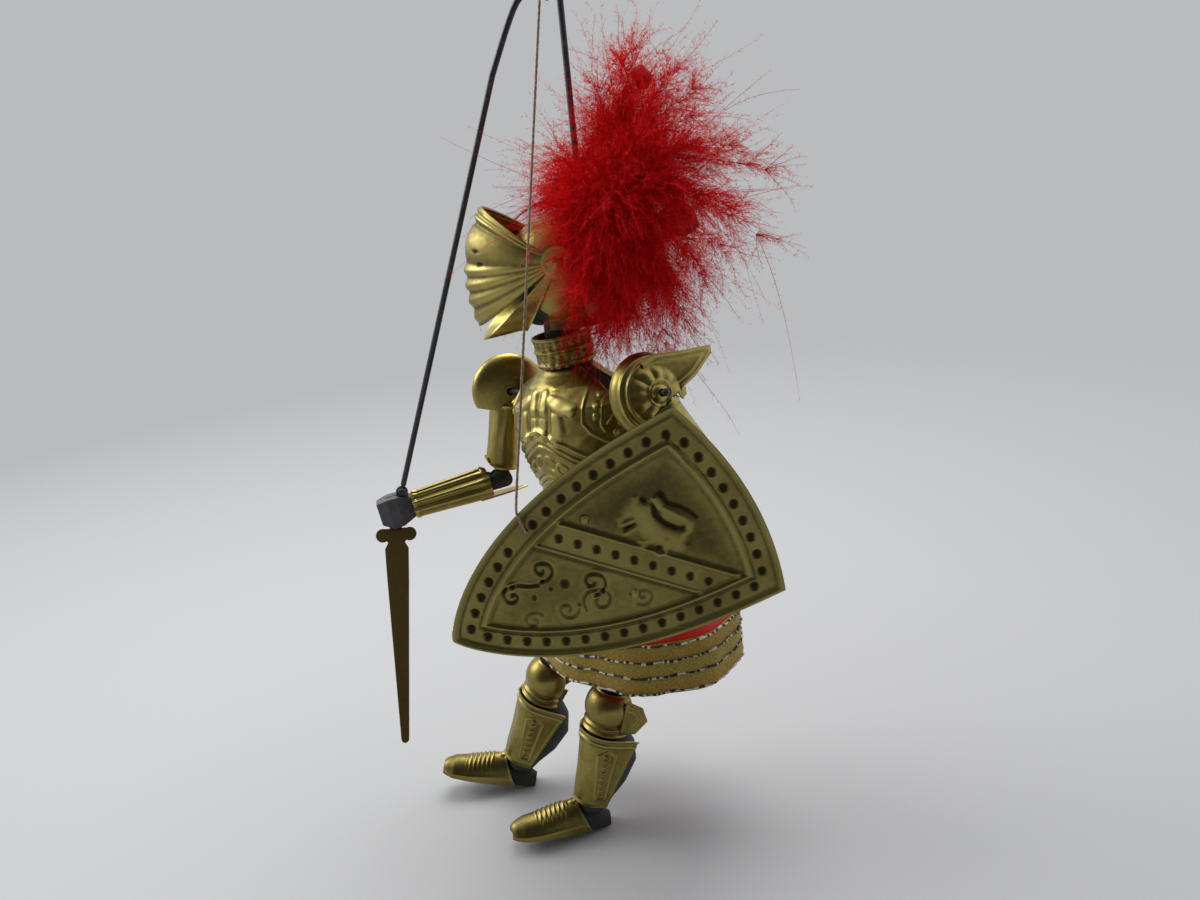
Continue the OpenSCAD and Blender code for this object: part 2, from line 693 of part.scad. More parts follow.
module arm_plate(side) color(brass) in_upper_arm(side) {
    difference() {
        translate([0, 0, -upper_arm_len + plate_gap])
            cylinder(h = upper_arm_len - plate_gap - plate_top, r = arm_plate_r);
        translate([0, 0, -upper_arm_len]) cylinder(h = upper_arm_len, r = arm_plate_r - sheet_t);
        // Open seam behind
        translate([-2.5, 0, -upper_arm_len]) cube([5, 20, upper_arm_len]);
        translate([0, 0, -upper_arm_len]) bend_room(side, 1);
    }
    for (z = [-plate_top - 2, -upper_arm_len + plate_gap + 1]) difference() {
        translate([0, 0, z]) torus(arm_plate_r - sheet_t / 2, 2 * bead_h);
        translate([0, 0, z - 2]) cylinder(h = 4, r = arm_plate_r - sheet_t);
        translate([-2.5, 0, z - 2]) cube([5, 20, 4]);
        translate([0, 0, -upper_arm_len]) bend_room(side, 1);
    }
}
module right_arm_plate() arm_plate(RIGHT);
module left_arm_plate() arm_plate(LEFT);

module elbow_pin(side) color(wire_black) in_upper_arm(side) translate([0, 0, -upper_arm_len]) cross_pin(arm_core_r + 0.6, pin_r);
module right_elbow_pin() elbow_pin(RIGHT);
module left_elbow_pin() elbow_pin(LEFT);

module forearm(side) color(dark_core) in_forearm(side)
    fork_core(forearm_len, arm_core_r, arm_core_r - 0.8, arm_core_r, 8) bend_room(side, -1);
module right_forearm() forearm(RIGHT);
module left_forearm() forearm(LEFT);

// Fluted, tapered sheet rolled round the forearm, with an open seam on top
flute_h = 0.7;
seam_angle = 28;
function flute_row(z, r, grow) =
    [for (i = [0:4 * flutes])
        let (a = seam_angle / 2 + (360 - seam_angle) * i / (4 * flutes),
             q = r + grow + flute_h * (i % 4 == 2 ? 1 : i % 4 == 0 ? -1 : 0))
        [-q * sin(a), -q * cos(a), z]];

module forearm_plate(side) color(brass) in_forearm(side) {
    ends = [[-forearm_len, forearm_thin_r], [-plate_gap, forearm_wide_r]];
    difference() {
        sheet([for (e = ends) flute_row(e[0], e[1], 0)], [for (e = ends) flute_row(e[0], e[1], -sheet_t)]);
        bend_room(side, -1);
    }
}
module right_forearm_plate() forearm_plate(RIGHT);
module left_forearm_plate() forearm_plate(LEFT);

// Closed fist; the sword stands in a slot across it
hand_w = 12;
hand_d = 15;
grip_len = 6;
grip_z = -forearm_len - seat_gap - 0.55 * hand_len;
hand_pin_at = [0, -8.4, -forearm_len - 3.4];
rod_eye_r = 3;
ear_t = 1.6;

module hand(side) color(lead_grey) in_forearm(side) difference() {
    union() {
        hull() {
            translate([0, 0, -forearm_len - seat_gap - 1]) cube([hand_w - 4, hand_d - 5, 2], center = true);
            translate([0, 0, grip_z]) cube([hand_w, hand_d, 5], center = true);
            translate([0, -1, -forearm_len - seat_gap - hand_len + 1]) cube([hand_w - 3, hand_d - 4, 2], center = true);
        }
        // Two ears that hold the pin of the hand rod
        if (side == RIGHT) for (s = [-1, 1]) translate([s * (rod_r + move_gap + ear_t / 2), 0, hand_pin_at.z])
            hull() {
                translate([0, hand_pin_at.y, 0]) cross_pin(ear_t / 2, 2);
                translate([0, -3, 0]) cross_pin(ear_t / 2, 3);
            }
    }
    if (side == RIGHT) {
        translate([-blade_t / 2 - seat_gap, -hand_d, grip_z - grip_len / 2 - seat_gap])
            cube([blade_t + 2 * seat_gap, 2 * hand_d, grip_len + 2 * seat_gap]);
        translate([0, hand_pin_at.y, hand_pin_at.z]) cross_pin(hand_w, 1 + seat_gap);
        // Room for the eye of the hand rod between the ears
        translate([0, hand_pin_at.y, hand_pin_at.z]) cross_pin(rod_r + move_gap, rod_eye_r + move_gap);
    } else translate(shield_at) rotate(shield_turn) strap_bar(seat_gap);
}
module right_hand() hand(RIGHT);
module left_hand() hand(LEFT);

lobe_r = 3.4;
point_len = 12;
// Flat sword: grip, guard with round lobes, and a tapering blade, drawn with the point along +Y
module sword_outline() {
    top = hand_d / 2 + 0.6;
    translate([-grip_len / 2, 1 - hand_d / 2]) square([grip_len, hand_d / 2 + top + 1]);
    for (s = [-1, 1]) translate([s * (guard_w / 2 - lobe_r), top + lobe_r]) circle(r = lobe_r);
    translate([-guard_w / 2 + lobe_r, top + 1.2]) square([guard_w - 2 * lobe_r, 3.4]);
    translate([0, top + lobe_r]) polygon([[-blade_w / 2, 0], [blade_w / 2, 0], [blade_w / 2 - 0.6, 16],
        [blade_w / 4, blade_len - point_len], [0, blade_len], [-blade_w / 4, blade_len - point_len], [-blade_w / 2 + 0.6, 16]]);
}

module sword() color(brass) in_forearm(RIGHT) translate([0, 0, grip_z]) rotate([0, 90, 0])
    linear_extrude(blade_t, center = true) sword_outline();

module hand_pin() color(wire_black) in_forearm(RIGHT) translate([0, hand_pin_at.y, hand_pin_at.z])
    cross_pin(rod_r + move_gap + ear_t + 0.4, 1);

// Hand rod: an eye on the hand pin, a long shaft, and a hook bent over beside the hanging eye
hand_rod_bends = [[-33, -15, -48], [-25.5, -5.5, -22], [-22, -1, -16], [-17.5, 4, -14.5], [-15, 6.5, -20]];
module hand_rod() color(wire_black) {
    low = forearm_point(hand_pin_at, RIGHT);
    up = (hand_rod_bends[0] - low) / norm(hand_rod_bends[0] - low);
    difference() {
        union() {
            in_forearm(RIGHT) translate([0, hand_pin_at.y, hand_pin_at.z]) cross_pin(rod_r, rod_eye_r);
            tube(concat([low + 2.6 * up], hand_rod_bends), rod_r, [1, -1, 0]);
        }
        in_forearm(RIGHT) translate([0, hand_pin_at.y, hand_pin_at.z]) cross_pin(3 * rod_d, 1 + turn_gap);
    }
}

// Shield, in the frame of the left forearm: X out of its face, the point along -Z
shield_at = [45, -1.5, -23.5];
shield_turn = [16, 37, 14];
shield_t = 1;
module in_shield() in_forearm(LEFT) translate(shield_at) rotate(shield_turn) children();

// Half width of the shield at a height z below its corners
function shield_half(z) = (shield_w / 2) * pow(max(0, 1 - pow(-z / shield_h, 2.6)), 0.8);
function shield_crown(x) = crown_h * (1 - pow(2 * x / shield_w, 2));

// One side from the point to the top corner, drawn in from the edge by d
side_steps = 14;
function shield_side(d) =
    let (low = 1.2 * d - shield_h, high = shield_crown(shield_w / 2 - d) - 1.03 * d)
    [for (i = [0:side_steps])
        let (z = low + (high - low) * pow(i / side_steps, 1.5),
             slope = shield_half(min(0, z + 0.5)) - shield_half(z - 0.5))
        [max(0, shield_half(z) - d * sqrt(1 + slope * slope)), z]];

function shield_outline(d) =
    let (side = shield_side(d), corner = side[side_steps].x)
    concat(side,
           [for (i = [1:9]) let (x = corner * (1 - i / 5)) [x, shield_crown(x) - 1.03 * d]],
           [for (i = [side_steps:-1:d > 0 ? 0 : 1]) [-side[i].x, side[i].y]]);

// Draws a flat outline on the shield: X of the outline along the top edge, Y towards it
module on_shield(from, h) in_shield() rotate([90, 0, 90]) translate([0, 0, from]) linear_extrude(h) children();

string_hole_at = [-27.2, -75.7];
// Bend across the field: its angle, and the middle of its row of dots
bend_angle = 41.6;
bend_mid = [-27.3, -36.5];
bend_half = 6;
bend_dot_step = 7.8;
module shield() color(old_brass) difference() {
    union() {
        on_shield(0, shield_t) polygon(shield_outline(0));
        // Rolled edge, and the ridge inside the border
        on_shield(0, shield_t + bead_h) difference() {
            polygon(shield_outline(0));
            polygon(shield_outline(1.6));
        }
        on_shield(0, shield_t + bead_h) difference() {
            polygon(shield_outline(border_w));
            polygon(shield_outline(border_w + 1.8));
        }
        // Bend across the field, between two ridges
        on_shield(0, shield_t + bead_h) intersection() {
            polygon(shield_outline(border_w + 1));
            union() for (d = [-bend_half, bend_half]) rotate(bend_angle)
                translate([-90, bend_mid.y + d - 0.9]) square([140, 1.8]);
        }
    }
    on_shield(-1, 4) translate(string_hole_at) circle(r = string_hole_r);
    for (y = strap_rivets) {
        on_shield(-1, 4) translate([y, strap_at.z]) circle(r = 1 + seat_gap);
        on_shield(shield_t, 4) translate([y, strap_at.z]) circle(r = 2 + seat_gap);
    }
    // Row of punched dots in the border
    for (p = shield_dots()) in_shield() translate([shield_t + dot_r * 0.6, p.x, p.y]) sphere(r = dot_r);
    for (i = [-4:4]) in_shield() rotate([bend_angle, 0, 0])
        translate([shield_t + dot_r * 0.6, bend_mid.x + i * bend_dot_step, bend_mid.y]) sphere(r = dot_r);
}

// Places of the dots, evenly along the border, with one left out for the string's hole
function shield_dots() =
    let (line = shield_outline(dot_inset), n = len(line),
         leg = [for (i = [0:n - 1]) norm(line[(i + 1) % n] - line[i])],
         run = [for (i = 0, total = 0; i <= n; total = total + (i < n ? leg[i] : 0), i = i + 1) total],
         count = round(run[n] / dot_step))
    [for (k = [0:count - 1])
        let (s = run[n] * k / count, i = max([for (j = [0:n - 1]) if (run[j] <= s) j]), f = (s - run[i]) / leg[i],
             place = line[i] + f * (line[(i + 1) % n] - line[i]))
        if (norm(place - string_hole_at) > 0.6 * dot_step) place];

// Strap behind the shield that the left fist holds
strap_w = 5;
strap_t = 1.2;
strap_from = -17;
strap_to = 13;
strap_at = [-15.5, 0, -53];
module strap_bar(grow)
    translate([strap_at.x - strap_t / 2 - grow, strap_from, strap_at.z - strap_w / 2 - grow])
        cube([strap_t + 2 * grow, strap_to - strap_from, strap_w + 2 * grow]);

module shield_strap() color(brass) in_shield() difference() {
    union() {
        strap_bar(0);
        for (end = [strap_from, strap_to]) {
            out = end == strap_from ? -1 : 1;
            translate([strap_at.x - strap_t / 2, end - strap_t / 2, strap_at.z - strap_w / 2])
                cube([-strap_at.x - seat_gap + strap_t / 2, strap_t, strap_w]);
            translate([-seat_gap - strap_t, min(end, end + out * 7), strap_at.z - strap_w / 2])
                cube([strap_t, 7, strap_w]);
        }
    }
    for (y = strap_rivets) translate([-3, y, strap_at.z]) rotate([0, 90, 0]) cylinder(h = 4, r = 1 + seat_gap);
}
strap_rivets = [strap_from - 4.5, strap_to + 4.5];

module shield_rivets() color(old_brass) in_shield() for (y = strap_rivets) translate([0, y, strap_at.z]) {
    translate([-strap_t - 1.6, 0, 0]) rotate([0, 90, 0]) cylinder(h = strap_t + 2.8 + shield_t, r = 1);
    translate([shield_t + seat_gap, 0, 0]) rotate([0, 90, 0]) cylinder(h = 0.9, r1 = 2, r2 = 1.4);
    translate([-strap_t - 2 * seat_gap - 0.9, 0, 0]) rotate([0, 90, 0]) cylinder(h = 0.9, r1 = 1.4, r2 = 2);
}

// String from the hanging eye, over the shield's edge and through its hole, with a knot at each end
string_r = string_d / 2;
string_top_angle = 50;
function shield_point(p) = forearm_point(shield_at + turned(p, shield_turn), LEFT);
module shield_string() color(twine) {
    ring = (eye_r + rod_r) * [0, -cos(string_top_angle), -sin(string_top_angle)];
    along = [0, sin(string_top_angle), -cos(string_top_angle)];
    outward = unit(ring);
    // Loop round the wire of the hanging eye
    loop_r = rod_r + string_r + seat_gap;
    tube([for (a = [105:30:435]) ring - loop_r * cos(a) * unit(cross(along, outward)) + loop_r * sin(a) * outward],
         string_r, along);
    top = ring + (loop_r + 1.2) * outward;
    over = shield_t + bead_h + string_r + move_gap;
    edge_z = string_hole_at.y + 1.8;
    edge_y = -shield_half(edge_z);
    back = shield_point([-2.2, string_hole_at.x, string_hole_at.y]);
    tube([top, shield_point([0, edge_y - string_r - 1.1, edge_z]), shield_point([over + 0.4, edge_y - 0.3, edge_z]),
          shield_point([over, string_hole_at.x - 0.8, string_hole_at.y]), back],
         string_r, shield_point([0, 0, 1]) - shield_point([0, 0, 0]));
    translate(top) knot(1.6 * string_d);
    translate(back) knot(1.7 * string_d);
}

// Legs, each in the frame of its hip with forward along -Y

function leg_yaw(side) = side == RIGHT ? right_leg_yaw : left_leg_yaw;
function thigh_swing(side) = side == RIGHT ? right_thigh_swing : left_thigh_swing;
function knee_bend(side) = side == RIGHT ? right_knee_bend : left_knee_bend;
module in_hip(side) translate(hip_at(side)) rotate([0, 0, -leg_yaw(side)]) children();
module in_thigh(side) in_hip(side) rotate([-thigh_swing(side), 0, 0]) children();
module in_shin(side) in_thigh(side) translate([0, 0, -thigh_len]) rotate([knee_bend(side), 0, 0]) children();

hip_eye_r = 4;
knee_tongue_r = 5;
module hip_hook(side) color(wire_black) in_hip(side) difference() {
    union() {
        cylinder(h = hip_pin_len, r = pin_r);
        cross_pin(tongue_t / 2, hip_eye_r);
    }
    cross_pin(tongue_t, pin_r + turn_gap);
}
module right_hip_hook() hip_hook(RIGHT);
module left_hip_hook() hip_hook(LEFT);

module hip_pin(side) color(wire_black) in_thigh(side) cross_pin(leg_core_r + 0.6, pin_r);
module right_hip_pin() hip_pin(RIGHT);
module left_hip_pin() hip_pin(LEFT);

module thigh(side) color(dark_core) in_thigh(side) union() {
    difference() {
        fork_core(thigh_len / 2, leg_core_r, leg_core_r, leg_core_r, 9);
    }
    tongue_core(thigh_len / 2 - 0.01, thigh_len, leg_core_r, leg_core_r, knee_tongue_r);
}
module right_thigh() thigh(RIGHT);
module left_thigh() thigh(LEFT);

module knee_pin(side) color(wire_black) in_thigh(side) translate([0, 0, -thigh_len]) cross_pin(leg_core_r + 0.6, pin_r);
module right_knee_pin() knee_pin(RIGHT);
module left_knee_pin() knee_pin(LEFT);

// Foot, from the ankle: the heel is behind and the toes drop forward
foot_tip = 10;
heel_len = 10;
foot_w = 8;
sole_drop = 13;
module in_foot(side) in_shin(side) translate([0, 0, -shin_len]) rotate([foot_tip, 0, 0]) children();

// Half width and height of the foot at a share of the way from heel to toe
foot_shape = [[0, 5.5, 7], [0.12, 7, 10], [0.3, 7.6, 12.5], [0.5, 8, 10], [0.7, 7.6, 7.2], [0.88, 5.6, 5], [1, 2.4, 3.6]];
module shin(side) color(dark_core) {
    in_shin(side) fork_core(shin_len + 4, leg_core_r, leg_core_r - 1.2, leg_core_r, 9);
    in_foot(side) difference() {
        hull() for (k = [0:len(foot_shape) - 1]) translate([0, heel_len - foot_shape[k][0] * (heel_len + foot_len), -sole_drop])
            rotate([90, 0, 0]) linear_extrude(0.1, center = true) intersection() {
                scale([foot_shape[k][1] - 1.4, foot_shape[k][2] - 1.4]) circle(r = 1, $fn = 24);
                translate([-20, 0]) square(40);
            }
        translate([-20, -heel_len, -sole_drop - 1]) cube([40, 6, 2]);
    }
}
module right_shin() shin(RIGHT);
module left_shin() shin(LEFT);

// Round cop in front of the knee, with two beads below and a pointed wing on its outer side
wing_len = 9;
cop_top = 48;
cop_low = -32;
cop_sweep = 230;
collar_r = 9.6;
collar_low = 12;
cop_profile = concat(
    [for (a = [cop_top:-10:cop_low]) knee_r * [cos(a), sin(a)]],
    [for (z = [7.4, 10.6]) each [[collar_r, -z + 0.5], [collar_r + bead_h, -z], [collar_r + bead_h, -z - 0.8], [collar_r, -z - 1.3]]],
    [[collar_r, -collar_low], [collar_r - sheet_t, -collar_low]],
    [for (a = [cop_low - 3:10:cop_top]) (knee_r - sheet_t) * [cos(a), sin(a)]]);

module knee_cop() {
    rotate([0, 0, -90 - cop_sweep / 2]) rotate_extrude(angle = cop_sweep) polygon(cop_profile);
    translate([1.6 - knee_r, 0, -1]) rotate([0, -90, 0]) linear_extrude(sheet_t)
        polygon([[-5, 2], [5, 2], [4, wing_len], [0, wing_len + 3.5], [-4, wing_len]]);
}
module right_knee_cop() color(brass) in_shin(RIGHT) knee_cop();
module left_knee_cop() color(brass) in_shin(LEFT) mirror([1, 0, 0]) knee_cop();

// Greave: a plate round the front of the shin, from the knee cop to the ankle
function greave_r(drop) = 9.6 + 1.2 * sin(180 * min(1, drop / 34)) - drop * 0.035;
greave_top = collar_low + 0.4;
greave_half = 118;
greave_steps = 7;
greave_n = 20;
function greave_row(drop, grow) =
    [for (i = [0:greave_n])
        let (a = -greave_half + 2 * greave_half * i / greave_n,
             ridge = abs(a) < 7 ? bead_h : 0,
             r = greave_r(drop - greave_top) + grow + ridge)
        [r * sin(a), -r * cos(a), -drop]];

module greave(side) color(old_brass) in_shin(side) {
    drops = [for (i = [0:greave_steps]) greave_top + (shin_len - 2 - greave_top) * i / greave_steps];
    sheet([for (d = drops) greave_row(d, 0)], [for (d = drops) greave_row(d, -sheet_t)]);
}
module right_greave() greave(RIGHT);
module left_greave() greave(LEFT);

// Sabaton: lames over the top of the foot
lames = 6;
sabaton_n = 14;
sabaton_from = 0.34;
// Half width and height of the foot at a share t of the way from heel to toe
function foot_at(t) =
    let (k = max([for (j = [0:len(foot_shape) - 2]) if (foot_shape[j][0] <= t) j]),
         f = (t - foot_shape[k][0]) / (foot_shape[k + 1][0] - foot_shape[k][0]))
    [for (j = [1, 2]) foot_shape[k][j] + f * (foot_shape[k + 1][j] - foot_shape[k][j])];

function foot_row(t, grow) =
    let (s = foot_at(t))
    [for (i = [0:sabaton_n])
        let (a = 180 - 180 * i / sabaton_n)
        [(s[0] + grow) * cos(a), heel_len - t * (heel_len + foot_len), -sole_drop + 0.3 + (s[1] + grow) * sin(a)]];

module sabaton(side) color(brass) in_foot(side) {
    steps = [for (i = [0:2 * lames]) sabaton_from + (0.97 - sabaton_from) * i / (2 * lames)];
    sheet([for (i = [0:2 * lames]) foot_row(steps[i], i % 2 == 0 ? 0 : bead_h)],
          [for (i = [0:2 * lames]) foot_row(steps[i], -sheet_t)]);
}
module right_sabaton() sabaton(RIGHT);
module left_sabaton() sabaton(LEFT);

head_rod();
crown_eye();
helmet();
head_core();
chin_guard();
visor();
visor_rivets();
plume_tube();
plume();
neck_pin();
torso_core();
breastplate();
backplate();
gorget();
plate_rivets();
skirt();
hem_braid();
right_shoulder_pin();
left_shoulder_pin();
right_upper_arm();
left_upper_arm();
right_pauldron();
left_pauldron();
right_arm_plate();
left_arm_plate();
right_elbow_pin();
left_elbow_pin();
right_forearm();
left_forearm();
right_forearm_plate();
left_forearm_plate();
right_hand();
left_hand();
sword();
hand_pin();
hand_rod();
shield();
shield_strap();
shield_rivets();
shield_string();
right_hip_hook();
left_hip_hook();
right_hip_pin();
left_hip_pin();
right_thigh();
left_thigh();
right_knee_pin();
left_knee_pin();
right_shin();
left_shin();
right_knee_cop();
left_knee_cop();
right_greave();
left_greave();
right_sabaton();
left_sabaton();
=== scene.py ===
# Knight marionette in embossed sheet brass over dark cores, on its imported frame
import json
import math
from functools import partial

import bpy
import numpy as np
from mathutils import Euler, Matrix, Vector


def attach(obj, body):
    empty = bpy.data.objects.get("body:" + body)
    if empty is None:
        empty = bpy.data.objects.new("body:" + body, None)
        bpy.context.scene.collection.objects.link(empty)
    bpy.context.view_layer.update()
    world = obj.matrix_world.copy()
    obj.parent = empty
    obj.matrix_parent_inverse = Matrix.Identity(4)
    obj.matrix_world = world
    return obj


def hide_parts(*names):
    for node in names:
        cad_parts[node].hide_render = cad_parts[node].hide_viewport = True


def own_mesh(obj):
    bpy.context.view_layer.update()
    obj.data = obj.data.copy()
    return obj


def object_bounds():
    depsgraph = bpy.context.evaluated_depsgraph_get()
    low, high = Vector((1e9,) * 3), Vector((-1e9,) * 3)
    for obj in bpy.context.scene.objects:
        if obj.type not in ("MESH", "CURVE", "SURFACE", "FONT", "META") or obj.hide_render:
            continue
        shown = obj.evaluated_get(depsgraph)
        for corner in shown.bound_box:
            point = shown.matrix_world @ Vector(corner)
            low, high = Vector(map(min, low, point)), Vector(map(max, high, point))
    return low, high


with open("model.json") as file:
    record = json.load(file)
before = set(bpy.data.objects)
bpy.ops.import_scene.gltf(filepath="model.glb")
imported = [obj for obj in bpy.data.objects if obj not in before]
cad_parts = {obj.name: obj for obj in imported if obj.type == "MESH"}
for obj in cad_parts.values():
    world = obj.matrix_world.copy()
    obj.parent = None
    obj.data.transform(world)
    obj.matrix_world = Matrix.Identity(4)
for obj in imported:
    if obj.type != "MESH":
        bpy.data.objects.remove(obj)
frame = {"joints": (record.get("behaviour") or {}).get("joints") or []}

cad_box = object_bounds()
MM = 0.001

# Camera: a stand-in for the photographer's, at the knight's front left and slightly above. It is a
# little tilted and has a 30 mm lens on a full frame.
camera_at = Vector((0.3442, -0.2922, -0.0724))
camera_aim = Vector((-0.00405, 0.0, -0.2201))
camera_roll = math.radians(-5.876)
ahead = (camera_aim - camera_at).normalized()
level = ahead.cross(Vector((0, 0, 1))).normalized()
upright = level.cross(ahead)
side_way = level * math.cos(camera_roll) + upright * math.sin(camera_roll)
up_way = upright * math.cos(camera_roll) - level * math.sin(camera_roll)
bpy.ops.object.camera_add()
camera = bpy.context.object
camera.name = "studio_camera"
camera.data.lens = 30
camera.data.sensor_width = 36
camera.data.clip_start = 0.01
camera.matrix_world = Matrix.Translation(camera_at) @ Matrix((side_way, up_way, -ahead)).transposed().to_4x4()
bpy.context.scene.camera = camera


class Value:
    """A socket of a finish, so that shader sums read as Python."""

    def __init__(self, finish, out):
        self.finish = finish
        self.out = out

    def __add__(self, other):
        return self.finish.sum("ADD", self, other)

    __radd__ = __add__

    def __sub__(self, other):
        return self.finish.sum("SUBTRACT", self, other)

    def __rsub__(self, other):
        return self.finish.sum("SUBTRACT", other, self)

    def __mul__(self, other):
        return self.finish.sum("MULTIPLY", self, other)

    def clamped(self):
        return self.finish.node("Clamp", {"Value": self})


class Finish:
    """One material, or a world: node() adds any node, blend() mixes colours, put() fills a socket."""

    def __init__(self, name, world=None, **plain):
        self.material = world or bpy.data.materials.new(name)
        self.material.use_nodes = True
        self.tree = self.material.node_tree
        self.shader = self.tree.nodes["Background" if world else "Principled BSDF"]
        for key, value in plain.items():
            self.put(key.replace("_", " "), value)

    def put(self, key, value, node=None):
        socket = (node or self.shader).inputs[key]
        if isinstance(value, Value):
            self.tree.links.new(value.out, socket)
        else:
            socket.default_value = (*value, 1.0) if socket.type == "RGBA" and len(value) == 3 else value

    def node(self, kind, inputs=None, out=0, stops=None, **settings):
        made = self.tree.nodes.new("ShaderNode" + kind)
        for key, value in settings.items():
            setattr(made, key, value)
        for place, level in stops or []:
            stop = made.color_ramp.elements.new(place)
            stop.color = (level, level, level, 1.0)
        if stops:
            made.color_ramp.elements.remove(made.color_ramp.elements[0])
            made.color_ramp.elements.remove(made.color_ramp.elements[-1])
        for key, value in (inputs or {}).items():
            self.put(key, value, made)
        return Value(self, made.outputs[out])

    def sum(self, operation, a, b):
        return self.node("Math", {0: a, 1: b}, operation=operation)

    def blend(self, mask, a, b):
        return self.node("Mix", {0: mask, 6: a, 7: b}, out=2, data_type="RGBA")

    def noise(self, vector, scale, detail=4.0, rough=0.55):
        return self.node("TexNoise", {"Vector": vector, "Scale": scale, "Detail": detail, "Roughness": rough})

    def place(self):
        return self.node("TexCoord", out="Object")

    def ramp(self, value, low, high):
        return self.node("ValToRGB", {"Fac": value}, stops=[(low, 0.0), (high, 1.0)])

    def tint(self, mask, dark, light, rough=None, rougher=0.0):
        """Colours the surface from dark to light by a mask, and may roughen it by the same mask."""
        self.put("Base Color", self.blend(mask, dark, light))
        if rough:
            self.put("Roughness", mask * rougher + rough)

    def bump(self, height, depth, strength=1.0):
        self.put("Normal", self.node("Bump", {"Height": height, "Distance": depth, "Strength": strength}))


def dress(piece, finish):
    """Gives a piece, or a CAD node by its name, one finish all over."""
    made = bpy.data.objects[piece] if isinstance(piece, str) else piece
    made.data.materials.clear()
    made.data.materials.append(finish.material)
    return made


def settle(piece, body, slot, *nodes):
    """Hangs a piece on the body that it rides and hides the CAD nodes that it stands for. The slot is not
    used.
    """
    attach(piece, body)
    if nodes:
        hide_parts(*nodes)
    return piece


def columns(*parts):
    """An array with these parts as its columns."""
    return np.stack(np.broadcast_arrays(*parts), axis=1)


def run_along(points):
    """The length of an open line up to each of its points."""
    return np.concatenate([[0], np.cumsum(np.linalg.norm(np.diff(points, axis=0), axis=1))])


def at_run(points, run, at):
    """The points of an open line at the given lengths along it."""
    return columns(*[np.interp(at, run, part) for part in points.T])


def drawn_through(points, step):
    """Evenly spaced points along straight runs between the given points."""
    points = np.array(points, float)
    run = run_along(points)
    count = max(2, int(round(run[-1] / step)) + 1)
    return at_run(points, run, np.linspace(0, run[-1], count))


def rounded(points, times):
    """Corners cut again and again until the run of points is one smooth curve."""
    points = np.array(points, float)
    for _ in range(times):
        cut = [points[0]]
        for a, b in zip(points[:-1], points[1:]):
            cut += [0.75 * a + 0.25 * b, 0.25 * a + 0.75 * b]
        points = np.array(cut + [points[-1]])
    return points


def linked(name, mesh):
    """A new piece of the scene with this mesh."""
    piece = bpy.data.objects.new(name, mesh)
    bpy.context.collection.objects.link(piece)
    return piece


def swept(name, path, sides, ring):
    """A closed mesh along a path; ring(i, angles) gives the radius at each angle round point i."""
    path = np.array(path, float)
    turn = np.linspace(0, 2 * np.pi, sides, endpoint=False)
    ways = np.gradient(path, axis=0)
    ways /= np.linalg.norm(ways, axis=1)[:, None]
    across = np.cross(ways[0], (0.3, 0.5, 0.81))
    rows = []
    for i, way in enumerate(ways):
        across -= way * (across @ way)
        across /= np.linalg.norm(across)
        up = np.cross(way, across)
        radius = ring(i, turn)[:, None]
        rows.append(path[i] + radius * (np.cos(turn)[:, None] * across + np.sin(turn)[:, None] * up))
    count = len(path)
    faces = []
    for i in range(count - 1):
        for k in range(sides):
            n = (k + 1) % sides
            faces.append((i * sides + k, i * sides + n, (i + 1) * sides + n, (i + 1) * sides + k))
    faces.append(tuple(range(sides - 1, -1, -1)))
    faces.append(tuple((count - 1) * sides + k for k in range(sides)))
    mesh = bpy.data.meshes.new(name)
    mesh.from_pydata(np.concatenate(rows).tolist(), [], faces)
    mesh.polygons.foreach_set("use_smooth", [True] * len(faces))
    return linked(name, mesh)


# Shield string: light brown three-ply twine, tied round the hanging eye, drawn taut over the
# shield's edge and through its hole, with a knot at each end.
string_route = [(0.0, -0.008099, -0.009652), (0.042835, -0.084965, -0.210982),
                (0.045274, -0.086544, -0.212524), (0.045943, -0.083837, -0.221696),
                (0.042717, -0.0802, -0.221888)]
string_d = 0.0011
twist_pitch = 0.0032

twine = Finish("twine", Roughness=0.9, Sheen_Weight=0.3)
twine_place = twine.place()
twine_spots = twine.ramp(twine.noise(twine_place, 900, 3), 0.35, 0.65)
twine.tint(twine_spots, (0.20, 0.11, 0.055), (0.42, 0.28, 0.17))
twine.bump(twine.noise(twine_place, 3500, 2), 0.0002, 0.6)


def laid_rope(name, path, diameter, pitch):
    """Three strands laid round each other along a path."""
    path = drawn_through(path, pitch / 8)

    def ring(i, turn):
        wind = turn - 2 * np.pi * i / 8 / 3
        return diameter / 2 * (0.8 + 0.2 * np.abs(np.cos(1.5 * wind)))

    return dress(swept(name, path, 12, ring), twine)


start, bend_from, bend_to, hole_front, hole_back = [np.array(p) for p in string_route]
corner = rounded([0.1 * start + 0.9 * bend_from, bend_from, bend_to, hole_front, hole_back], 3)
string_path = np.concatenate([[start], corner])
string_length = float(np.linalg.norm(np.diff(string_path, axis=0), axis=1).sum())
string = laid_rope("shield_twine", string_path, string_d, twist_pitch)


def tied_knot(name, centre, size):
    """An overhand knot: a trefoil of the same twine."""
    t = np.linspace(0, 2 * np.pi, 60)
    loops = columns(np.sin(t) + 2 * np.sin(2 * t), np.cos(t) - 2 * np.cos(2 * t), -1.2 * np.sin(3 * t))
    return laid_rope(name, np.array(centre) + size / 3 * loops, string_d, twist_pitch)


